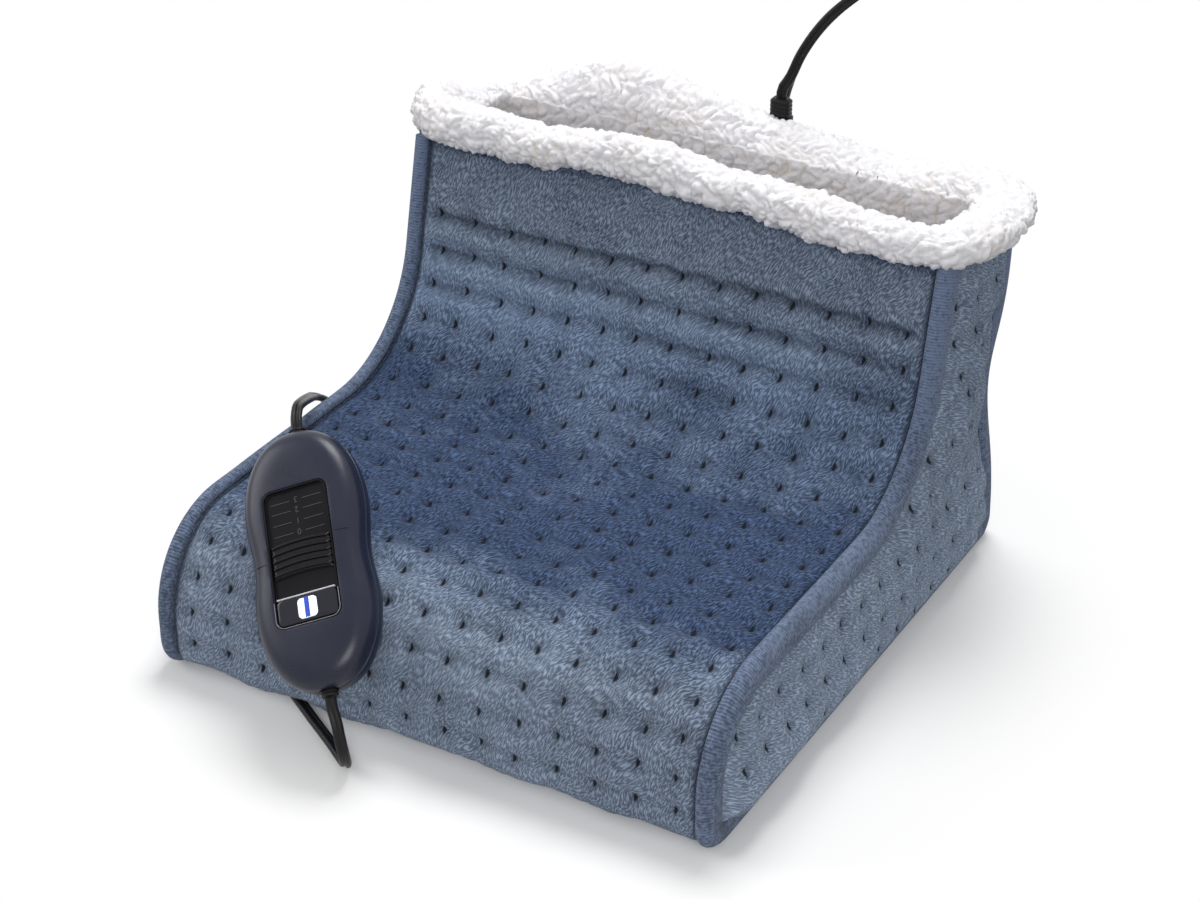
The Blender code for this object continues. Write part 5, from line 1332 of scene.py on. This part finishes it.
class WARMER_OT_cords(bpy.types.Operator):
    """Lead cord to the controller, and the mains cord with its coil and plug"""

    bl_idname = "warmer.cords"
    bl_label = "Cords"

    def execute(self, context):
        top = (GLAND_X, GLAND_Y, GLAND_TOP + 0.0003)
        above = (top[0], top[1], top[2] + CORD_END_RUN)
        route = (top, above, *LEAD_ROUTE, case_end(1, CORD_END_RUN), case_end(1))
        lead = settle(smooth_points(route, CORD_STEP))
        piece = flat_cord("lead_flex", lead, (0.3, -1.0, 0.2))
        seat(piece, "rubber", "cord", BOOT, "lead_cord")
        loops = coil_points()
        plug_x, plug_y = PLUG_TAIL_END
        end = loops[-1]
        route = (
            case_end(-1), case_end(-1, CORD_END_RUN), *MAINS_ROUTE, *loops,
            (end[0] - 0.0103, end[1], end[2]),
            ((end[0] + plug_x) / 2, (end[1] + plug_y) / 2, (end[2] + PLUG_HEIGHT) / 2),
            (plug_x + 0.0053, plug_y, PLUG_HEIGHT), (plug_x - 0.004, plug_y, PLUG_HEIGHT),
        )
        mains = settle(smooth_points(route, CORD_STEP))
        piece = flat_cord("mains_flex", mains, (0.0, -0.7, 0.7))
        seat(piece, "rubber", "cord", BOOT, "mains_cord", "mains_cord_coil", "mains_cord_tail")
        tie = self.tie()
        self.plug()
        return {"FINISHED"}

    def plug(self):
        """Flat plug with a ribbed, tapered tail."""
        x0, y0 = PLUG_TAIL_END
        stations = []
        for k in range(6):
            reach = k * 0.0036
            wide = 0.0078 + 0.0004 * k
            thick, narrow = 0.0066 + 0.0004 * k, wide - 0.0014
            stations += [(reach, wide, thick), (reach + 0.0022, wide, thick)]
            stations.append((reach + 0.0024, narrow, 0.0056 + 0.0003 * k))
            stations.append((reach + 0.0034, narrow, 0.0056))
        stations += [
            (0.0225, 0.0110, 0.0092), (0.0245, 0.0140, 0.0108), (0.0275, 0.0168, 0.0120),
            (0.0315, 0.0205, 0.0130), (0.0360, 0.0262, 0.0136), (0.0410, 0.0312, 0.0137),
            (0.0450, 0.0334, 0.0137), (0.0555, 0.0338, 0.0137), (0.0565, 0.0334, 0.0133),
            (0.0570, 0.0322, 0.0122),
        ]
        loops = []
        for reach, wide, thick in stations:
            radius = min(wide, thick) * 0.44
            section = rounded_rectangle(-wide / 2, wide / 2, -thick / 2, thick / 2, radius, 6, 2)
            loops.append([(x0 - reach, y0 + a, PLUG_HEIGHT + b) for a, b in section])
        obj = skin("plug_moulding", loops)
        smooth(obj, 35)
        return seat(obj, "rubber", "cord", BOOT, "plug_body")

    def tie(self):
        """Flat band round the coil."""
        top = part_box("cord_tie")[1][2]
        c, s = math.cos(TIE_ANGLE), math.sin(TIE_ANGLE)
        x, y = COIL_CENTRE
        inner = COIL_RADIUS - COIL_PITCH * 3.5 - 0.0032
        outer = COIL_RADIUS + 0.0034
        loops = []
        for across in (-TIE_HALF, -0.0024, 0.0024, TIE_HALF):
            bulge = 0.00012 if abs(across) < TIE_HALF else 0.0
            section = rounded_rectangle(
                inner - bulge, outer + bulge, 0.0004 - bulge, top - 0.0004 + bulge, 0.0016, 5, 6
            )
            loops.append([(r * c - across * s + x, r * s + across * c + y, z) for r, z in section])
        obj = skin("coil_band", loops, caps=False)
        face_away(obj, Vector((x + (inner + outer) / 2 * c, y + (inner + outer) / 2 * s, 0.006)))
        modify(obj, "SOLIDIFY", thickness=0.0007, offset=-1.0)
        smooth(obj, 40)
        return seat(obj, "rubber", "cord", BOOT, "cord_tie")


# Controller

def case_outline(inset, count=120):
    half_length, half_width = CASE_LENGTH / 2, CASE_WIDTH / 2
    turn = np.arange(count) * math.tau / count
    y = half_length * np.sin(turn)
    full = (1 - np.abs(np.sin(turn)) ** 3.2) ** (1 / 2.2)
    waist = 1 - 0.10 * bell(y, 0.017)
    x = np.where(np.cos(turn) >= 0, 1, -1) * half_width * full * waist
    points = beside(x, y)
    run = np.roll(points, -1, axis=0) - np.roll(points, 1, axis=0)
    normal = beside(run[:, 1], -run[:, 0])
    normal /= np.hypot(*normal.T)[:, None]
    return points - normal * inset


def lay(obj):
    """Moves a piece modelled in the controller's own frame to its place on the toe."""
    place = np.array(case_frame())
    points = read_points(obj)
    write_points(obj, points @ place[:3, :3].T + place[:3, 3])
    return obj


def seat_on_case(obj, angle, look, slot, body, *nodes):
    smooth(obj, angle)
    seat(lay(obj), look, slot, body, *nodes)


CASE_OUTSIDE = (
    (0.0006, 0.00015), (0.0001, 0.0006), (0.0, 0.0014), (0.0, 0.0030), (0.0002, 0.0046),
    (0.0006, 0.0062), (0.0012, 0.0075), (0.0020, 0.0087), (0.0031, 0.0098), (0.0044, 0.0108),
    (0.0062, 0.0117), (0.0085, 0.0123), (0.0110, 0.0127), (0.0140, 0.0129), (0.0175, 0.0130),
    (0.0215, 0.01305),
)
CASE_INSIDE = (
    (0.0160, 0.0111), (0.0090, 0.0105), (0.0055, 0.0092), (0.0034, 0.0070), (0.0024, 0.0040),
    (0.0020, 0.00015),
)


def case_shell(name, side):
    sections = CASE_INSIDE + CASE_OUTSIDE
    return skin(name, [at_height(case_outline(inset), side * height) for inset, height in sections])


def prism(name, plan, bottom, top):
    return skin(name, [at_height(plan, z) for z in (bottom, top)])


def window(margin, length=WINDOW_LENGTH, width=WINDOW_WIDTH, corner=WINDOW_CORNER, centre=0.0, arc=8):
    x, y = width / 2 + margin, length / 2 + margin
    return rounded_rectangle(-x, x, centre - y, centre + y, corner + margin, arc, 0)


def cut(obj, *cutters):
    for cutter in cutters:
        modify(obj, "BOOLEAN", operation="DIFFERENCE", solver="EXACT", object=cutter)
    for cutter in cutters:
        bpy.data.objects.remove(cutter, do_unlink=True)


def bushing_hole(end):
    turns = ring_turns(24)
    return skin("hole", [[(0.0041 * c, end * y, 0.0041 * s) for c, s in turns] for y in (0.050, 0.066)])


class WARMER_OT_controller(bpy.types.Operator):
    """Waisted hand controller: casing, window, slide, lit band and bushings"""

    bl_idname = "warmer.controller"
    bl_label = "Controller"

    def execute(self, context):
        upper = case_shell("upper_casing", 1)
        cut(upper, prism("opening", window(0.0), 0.002, 0.03), bushing_hole(1), bushing_hole(-1))
        modify(
            upper, "BEVEL", width=0.0003, segments=2, limit_method="ANGLE", angle_limit=math.radians(50)
        )
        seat_on_case(upper, 40, "casing", "casing", BOOT, "controller_upper_shell")
        lower = case_shell("lower_casing", -1)
        heads = []
        for x in (-0.0145, 0.0145):
            for y in (-0.043, 0.043):
                plan = [(x + 0.0028 * c, y + 0.0028 * s) for c, s in ring_turns(24)]
                heads.append(prism("recess", plan, -0.02, -0.0095))
        cut(lower, bushing_hole(1), bushing_hole(-1), *heads)
        seat_on_case(lower, 40, "casing", "casing", BOOT, "controller_lower_shell")
        self.track()
        self.slide()
        self.band()
        self.scale()
        for name, end in (("upper_boot", 1), ("lower_boot", -1)):
            self.bushing(name, end)
        return {"FINISHED"}

    def track(self):
        """Sunken floor of the window with a thin raised rim."""
        loops = []
        for margin, z in (
            (-0.0003, 0.0104), (-0.0003, 0.0129), (-0.00045, 0.01315), (-0.0008, 0.01320),
            (-0.0011, 0.01300), (-0.0012, 0.0126), (-0.0012, 0.0116), (-0.0014, 0.0114),
            (-0.0038, 0.0114),
        ):
            loops.append(at_height(window(margin), z))
        obj = skin("track", loops)
        seat_on_case(obj, 40, "gloss", "track", BOOT, "slider_track")

    def slide(self):
        """Thumb slide with five arched ridges."""
        half = WINDOW_WIDTH / 2 - 0.0015
        columns, rows = 40, 110
        obj, u, v = grid("thumb_slide", columns, rows)
        x, t = (u * 2 - 1) * half, v * SLIDER_LENGTH - SLIDER_LENGTH / 2
        pitch = SLIDER_LENGTH / 5
        phase = ((t + SLIDER_LENGTH / 2) / pitch) % 1.0
        ridge = np.exp(-(((phase - 0.5) / 0.20) ** 4))
        side_fall = 1 - step_up(np.abs(x), half - 0.0014, half)
        end_fall = 1 - step_up(np.abs(t), SLIDER_LENGTH / 2 - 0.0006, SLIDER_LENGTH / 2)
        y = SLIDER_CENTRE + t + 0.0013 * (0.5 - (x / half) ** 2)
        z = 0.0119 + 0.0009 * side_fall * end_fall + 0.0011 * ridge * side_fall
        write_points(obj, beside(x, y, z))
        modify(obj, "SOLIDIFY", thickness=0.0006, offset=-1.0)
        seat_on_case(obj, 50, "slide", "slider", SLIDER, "switch_slider")

    def band(self):
        """Glossy band with a bright upper line and the lit window."""
        half = WINDOW_WIDTH / 2 - 0.0015
        plan = rounded_rectangle(
            -half, half, LENS_CENTRE - LENS_LENGTH / 2, LENS_CENTRE + LENS_LENGTH / 2, 0.0028, 8, 6
        )
        steps = ((1.0, 0.0117), (1.0, 0.0125), (0.985, 0.0129), (0.955, 0.0131), (0.90, 0.01318))
        obj = skin("glossy_band", [
            [(x * k, LENS_CENTRE + (y - LENS_CENTRE) * k, z) for x, y in plan] for k, z in steps
        ])
        cut(obj, prism("opening", window(0.0002, *LAMP_WINDOW), 0.010, 0.02))
        seat_on_case(obj, 35, "band", "lens", BOOT, "lens_band")
        lamp = skin("lit_window", [
            at_height(window(m, *LAMP_WINDOW), z)
            for m, z in ((-0.0001, 0.0117), (-0.0001, 0.0130), (-0.0003, 0.0133), (-0.0008, 0.0134))
        ])
        seat_on_case(lamp, 35, "lit", "lamp", BOOT, "indicator_lamp")
        y = LENS_CENTRE + LENS_LENGTH / 2 + 0.00015
        section = rounded_rectangle(-0.00035, 0.00035, -0.0007, 0.0009, 0.0003, 3)
        bar = skin("bright_edge", [
            [(x, y + a, 0.0126 + b) for a, b in section]
            for x in np.linspace(-half + 0.0006, half - 0.0006, 9)
        ])
        seat_on_case(bar, 40, "bright line", "lens", BOOT)
        numeral = self.digit("1", (0.0, LENS_CENTRE), 0.0088, 0.01345, "lit_numeral", 0.00060)
        seat(lay(numeral), "blue numeral", "lamp", BOOT)
        self.edge()

    def edge(self):
        """Thin bright line round the lower end of the window, and a fine mark on each side of it."""
        plan = [p for p in window(-0.0005, arc=10) if p[1] < LENS_CENTRE]
        half = WINDOW_WIDTH / 2 - 0.0005
        path = [(-half, LENS_CENTRE + 0.0055)] + sorted(
            plan, key=lambda p: math.atan2(p[0], -(p[1] - LENS_CENTRE))
        ) + [(half, LENS_CENTRE + 0.0055)]
        path = np.array(path)
        run = np.gradient(path, axis=0)
        run /= np.hypot(*run.T)[:, None]
        r = 0.00017
        tube = skin("window_edge", [
            [(x + ry * r * c, y - rx * r * c, 0.01325 + r * s) for c, s in ring_turns(8)]
            for (x, y), (rx, ry) in zip(path, run)
        ])
        seat_on_case(tube, 60, "faint line", "track", BOOT)
        for name, side, y in (("right_mark", 1, 0.0068), ("left_mark", -1, -0.0005)):
            steps = np.linspace(0.0178, 0.0238, 7)
            crown = np.array(sorted(CASE_OUTSIDE)).T
            heights = [float(np.interp(CASE_WIDTH / 2 * 0.92 - x, *crown)) for x in steps]
            section = ((-0.0001, -0.0002), (0.0001, -0.0002), (0.0001, 0.0001), (-0.0001, 0.0001))
            mark = skin(name, [
                [(side * x, y + a, h + b) for a, b in section] for x, h in zip(steps, heights)
            ])
            seat(lay(mark), "gloss", "casing", BOOT)

    def digit(self, text, centre, height, z, name, weight=0.0):
        """A plain numeral that reads from the lead's end, as a thin mesh."""
        deselect()
        bpy.ops.object.text_add()
        obj = bpy.context.object
        obj.data.body = text
        obj.data.size = height * 1.38
        obj.data.align_x, obj.data.align_y = "CENTER", "CENTER"
        obj.data.extrude, obj.data.offset = 0.00006, weight
        obj.data.resolution_u = 6
        bpy.ops.object.convert(target="MESH")
        obj = bpy.context.object
        obj.name = obj.data.name = name
        points = read_points(obj)
        points -= (points.max(axis=0) + points.min(axis=0)) / 2
        points[:, :2] *= -1
        write_points(obj, points + (centre[0], centre[1], z))
        return obj

    def scale(self):
        """Graduation lines and plain numerals beside the slide's way."""
        top = WINDOW_LENGTH / 2
        section = ((-0.00016, 0), (0.00016, 0), (0.00016, 0.00012), (-0.00016, 0.00012))
        for k, depth in enumerate((0.0066, 0.0115, 0.0170, 0.0224)):
            y = top - depth
            for side in (-1, 1):
                bar = skin(f"graduation_{k}_{'left' if side < 0 else 'right'}", [
                    [(x, y + a, 0.01145 + b) for a, b in section]
                    for x in (side * 0.0031, side * 0.0128)
                ])
                seat(lay(bar), "numeral", "track", BOOT)
            digit = self.digit(str(3 - k), (0.0, y), 0.0030, 0.01152, f"scale_numeral_{3 - k}")
            seat(lay(digit), "numeral", "track", BOOT)

    def bushing(self, name, end):
        """Short tapered relief with two grooves."""
        stations = (
            (0.0570, 0.0046), (0.0600, 0.0046), (0.0602, 0.0038), (0.0630, 0.0038),
            (0.0634, 0.0043), (0.0641, 0.0043), (0.0643, 0.0036), (0.0648, 0.0036),
            (0.0650, 0.0041), (0.0657, 0.0040), (0.0660, 0.0034),
        )
        obj = skin(name, [
            [(r * c, end * y, r * 0.86 * s) for c, s in ring_turns(28)] for y, r in stations
        ])
        smooth(obj, 35)
        node = "upper_bushing" if end > 0 else "lower_bushing"
        seat(lay(obj), "rubber", "cord", BOOT, node)


class WARMER_OT_gland(bpy.types.Operator):
    """Moulded strain relief at the back of the collar"""

    bl_idname = "warmer.gland"
    bl_label = "Cable gland"

    def execute(self, context):
        groove, rib, flange = (0.0100, 0.0068), (0.0108, 0.0074), (0.0118, 0.0082)
        stations = [(0.1690, *rib), (0.2010, *rib), (0.2014, *flange), (0.2030, *flange)]
        for k in range(4):
            z = 0.2034 + k * 0.0022
            stations += [(z, *groove), (z + 0.0005, *rib), (z + 0.0016, *rib), (z + 0.0021, *groove)]
        stations += [(0.2124, 0.0092, 0.0062), (0.2130, 0.0080, 0.0054)]
        loops = []
        for z, wide, deep in stations:
            plan = rounded_rectangle(-wide / 2, wide / 2, -deep / 2, deep / 2, 0.0024, 6)
            loops.append([(GLAND_X + x, GLAND_Y + y, z) for x, y in plan])
        obj = skin("gland_relief", loops)
        smooth(obj, 35)
        x0, y0, z0 = GLAND_X - 0.013, BACK_FACE + 0.0015, 0.168
        x1, y1, z1 = GLAND_X + 0.013, 0.1709, 0.184
        plate = skin("gland_plate", [
            [(x, y, z) for x, z in rounded_rectangle(x0 + m, x1 - m, z0 + m, z1 - m, 0.003 - m, 6)]
            for y, m in ((y0, 0.0), (y1 - 0.0006, 0.0), (y1, 0.0006))
        ])
        smooth(plate, 35)
        seat(plate, "rubber", "casing", BOOT)
        seat(obj, "rubber", "casing", BOOT, "cable_gland")
        return {"FINISHED"}


class WARMER_OT_inside(bpy.types.Operator):
    """Finishes for the pieces inside: foam, felt, heater wiring, board and screws"""

    bl_idname = "warmer.inside"
    bl_label = "Inside pieces"

    def execute(self, context):
        looks = {
            "heating_wire": "red wire", "thermal_cutout": "brown plastic", "splice_housing": "casing",
            "internal_lead": "rubber", "circuit_board": "board", "switch_block": "brown plastic",
            "plug_pin_1": "brass", "plug_pin_2": "brass", "controller_screw_1": "steel",
            "controller_screw_2": "steel", "controller_screw_3": "steel", "controller_screw_4": "steel",
        }
        for node, look in looks.items():
            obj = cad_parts[node]
            obj.data.materials.clear()
            obj.data.materials.append(finish(look))
        for node, name, look, slot, sides in (
            ("sole_foam", "foam_layer", "foam", "foam", 0.0012),
            ("heater_carrier", "felt_sheet", "felt", "felt", 0.0003),
        ):
            low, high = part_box(node)
            loops = []
            bottom, top = low[2], high[2]
            for z, m in ((bottom, sides), (bottom + sides, 0.0), (top - sides, 0.0), (top, sides)):
                plan = rounded_rectangle(low[0] + m, high[0] - m, low[1] + m, high[1] - m, 0.004, 5, 8)
                loops.append(at_height(plan, z))
            obj = skin(name, loops)
            smooth(obj, 40)
            seat(obj, look, slot, BOOT, node)
        return {"FINISHED"}


# Stage

# Focal length in millimetres, place and target of the camera
LENS, CAMERA, TARGET = 83.52, (0.58341, -1.00284, 0.77404), (0.01476, -0.0075, 0.09828)
LAMPS = (
    # name, place, size and power
    ("key", (-0.18, 0.74, 1.85), 1.0, 26.5), ("fill", (-1.8, -0.7, 1.0), 1.2, 12.0),
    ("front", (1.15, -1.6, 1.0), 1.0, 17.0),
)
LAMP_TARGET = Vector((0, 0, 0.08))
WHITE = (1.0, 1.0, 1.0, 1.0)
FLOOR_GLOW = 0.06
# The studio's light, and what is added where the camera or a reflection sees it
SKY_LIGHT, SKY_SEEN = 0.48, 0.52


class WARMER_OT_stage(bpy.types.Operator):
    """Camera at the photograph's angle, soft lamps and a white floor"""

    bl_idname = "warmer.stage"
    bl_label = "Stage"

    def execute(self, context):
        scene = context.scene
        lens = bpy.data.cameras.new("camera")
        lens.lens, lens.sensor_width, lens.clip_end = LENS, 36.0, 20.0
        camera = bpy.data.objects.new("camera", lens)
        scene.collection.objects.link(camera)
        camera.location = CAMERA
        camera.rotation_euler = (Vector(TARGET) - Vector(CAMERA)).to_track_quat("-Z", "Y").to_euler()
        scene.camera = camera
        for name, spot, size, power in LAMPS:
            light = bpy.data.lights.new(name, "AREA")
            light.shape, light.size, light.energy = "DISK", size, power
            lamp = bpy.data.objects.new(name, light)
            lamp.location = spot
            lamp.rotation_euler = (LAMP_TARGET - Vector(spot)).to_track_quat("-Z", "Y").to_euler()
            scene.collection.objects.link(lamp)
        self.floor()
        self.world(scene)
        scene.view_settings.view_transform = "Standard"
        return {"FINISHED"}

    def floor(self):
        deselect()
        bpy.ops.mesh.primitive_plane_add(size=12.0)
        floor = bpy.context.object
        floor.name = "floor"
        made = Finish("floor", roughness=1.0, specular_ior_level=0.0)
        made.set("Base Color", (0.80, 0.80, 0.80, 1.0))
        path = made.tree.nodes.new("ShaderNodeLightPath")
        seen = Wire(made, path.outputs["Is Camera Ray"])
        glossy = Wire(made, path.outputs["Is Glossy Ray"])
        through = Wire(made, path.outputs["Is Transmission Ray"])
        seen = seen.math("MAXIMUM", seen, seen.math("MAXIMUM", glossy, through))
        glow = made.node("ShaderNodeEmission", None, {"Color": WHITE, "Strength": seen * FLOOR_GLOW})
        both = made.node("ShaderNodeAddShader", None, [Wire(made, made.shader.outputs[0]), glow])
        nought = (0.0, 0.0, 0.0)
        away = made.vector("ABSOLUTE", made.vector("SUBTRACT", made.place(), (0.0, 0.01, 0.0)), nought)
        away = made.vector("MAXIMUM", made.vector("SUBTRACT", away, (0.150, 0.160, 0.0)), nought)
        reach = made.node("ShaderNodeVectorMath", {"operation": "LENGTH"}, [away], "Value")
        white = made.node("ShaderNodeEmission", None, {"Color": WHITE, "Strength": seen * 0.9 + 0.1})
        faded = made.node("ShaderNodeMixShader", None, [reach.between(0.0, 0.15), both, white])
        made.tree.links.new(faded.socket, made.tree.nodes["Material Output"].inputs["Surface"])
        floor.data.materials.append(made.material)

    def world(self, scene):
        world = bpy.data.worlds.new("studio")
        world.use_nodes = True
        tree = world.node_tree
        back = tree.nodes["Background"]
        back.inputs["Color"].default_value = WHITE
        path = tree.nodes.new("ShaderNodeLightPath")
        total = path.outputs["Is Camera Ray"]
        for kind in ("Is Glossy Ray", "Is Transmission Ray"):
            either = tree.nodes.new("ShaderNodeMath")
            either.operation = "MAXIMUM"
            tree.links.new(total, either.inputs[0])
            tree.links.new(path.outputs[kind], either.inputs[1])
            total = either.outputs[0]
        strength = tree.nodes.new("ShaderNodeMath")
        strength.operation = "MULTIPLY_ADD"
        strength.inputs[1].default_value = SKY_SEEN
        strength.inputs[2].default_value = SKY_LIGHT
        tree.links.new(total, strength.inputs[0])
        tree.links.new(strength.outputs[0], back.inputs["Strength"])
        scene.world = world


class WARMER_PT_panel(bpy.types.Panel):
    """Lists the pieces of the foot warmer"""

    bl_idname = "WARMER_PT_panel"
    bl_label = "Foot warmer"
    bl_space_type = "VIEW_3D"
    bl_region_type = "UI"
    bl_category = "Foot warmer"

    def draw(self, context):
        for group in (context.scene.warmer_sizes, context.scene.warmer_colours):
            for name in group.__annotations__:
                self.layout.prop(group, name)
        for operator in OPERATORS:
            self.layout.operator(operator.bl_idname)


OPERATORS = (
    WARMER_OT_stage, WARMER_OT_cords, WARMER_OT_cover, WARMER_OT_binding, WARMER_OT_collar,
    WARMER_OT_lining, WARMER_OT_controller, WARMER_OT_gland, WARMER_OT_inside,
)
CLASSES = (WarmerSizes, WarmerColours, *OPERATORS, WARMER_PT_panel)


def register():
    for cls in CLASSES:
        bpy.utils.register_class(cls)
    bpy.types.Scene.warmer_sizes = PointerProperty(type=WarmerSizes)
    bpy.types.Scene.warmer_colours = PointerProperty(type=WarmerColours)


def unregister():
    del bpy.types.Scene.warmer_colours
    del bpy.types.Scene.warmer_sizes
    for cls in reversed(CLASSES):
        bpy.utils.unregister_class(cls)


def main():
    register()
    for operator in OPERATORS:
        group, name = operator.bl_idname.split(".")
        getattr(getattr(bpy.ops, group), name)()


if __name__ == "__main__":
    main()
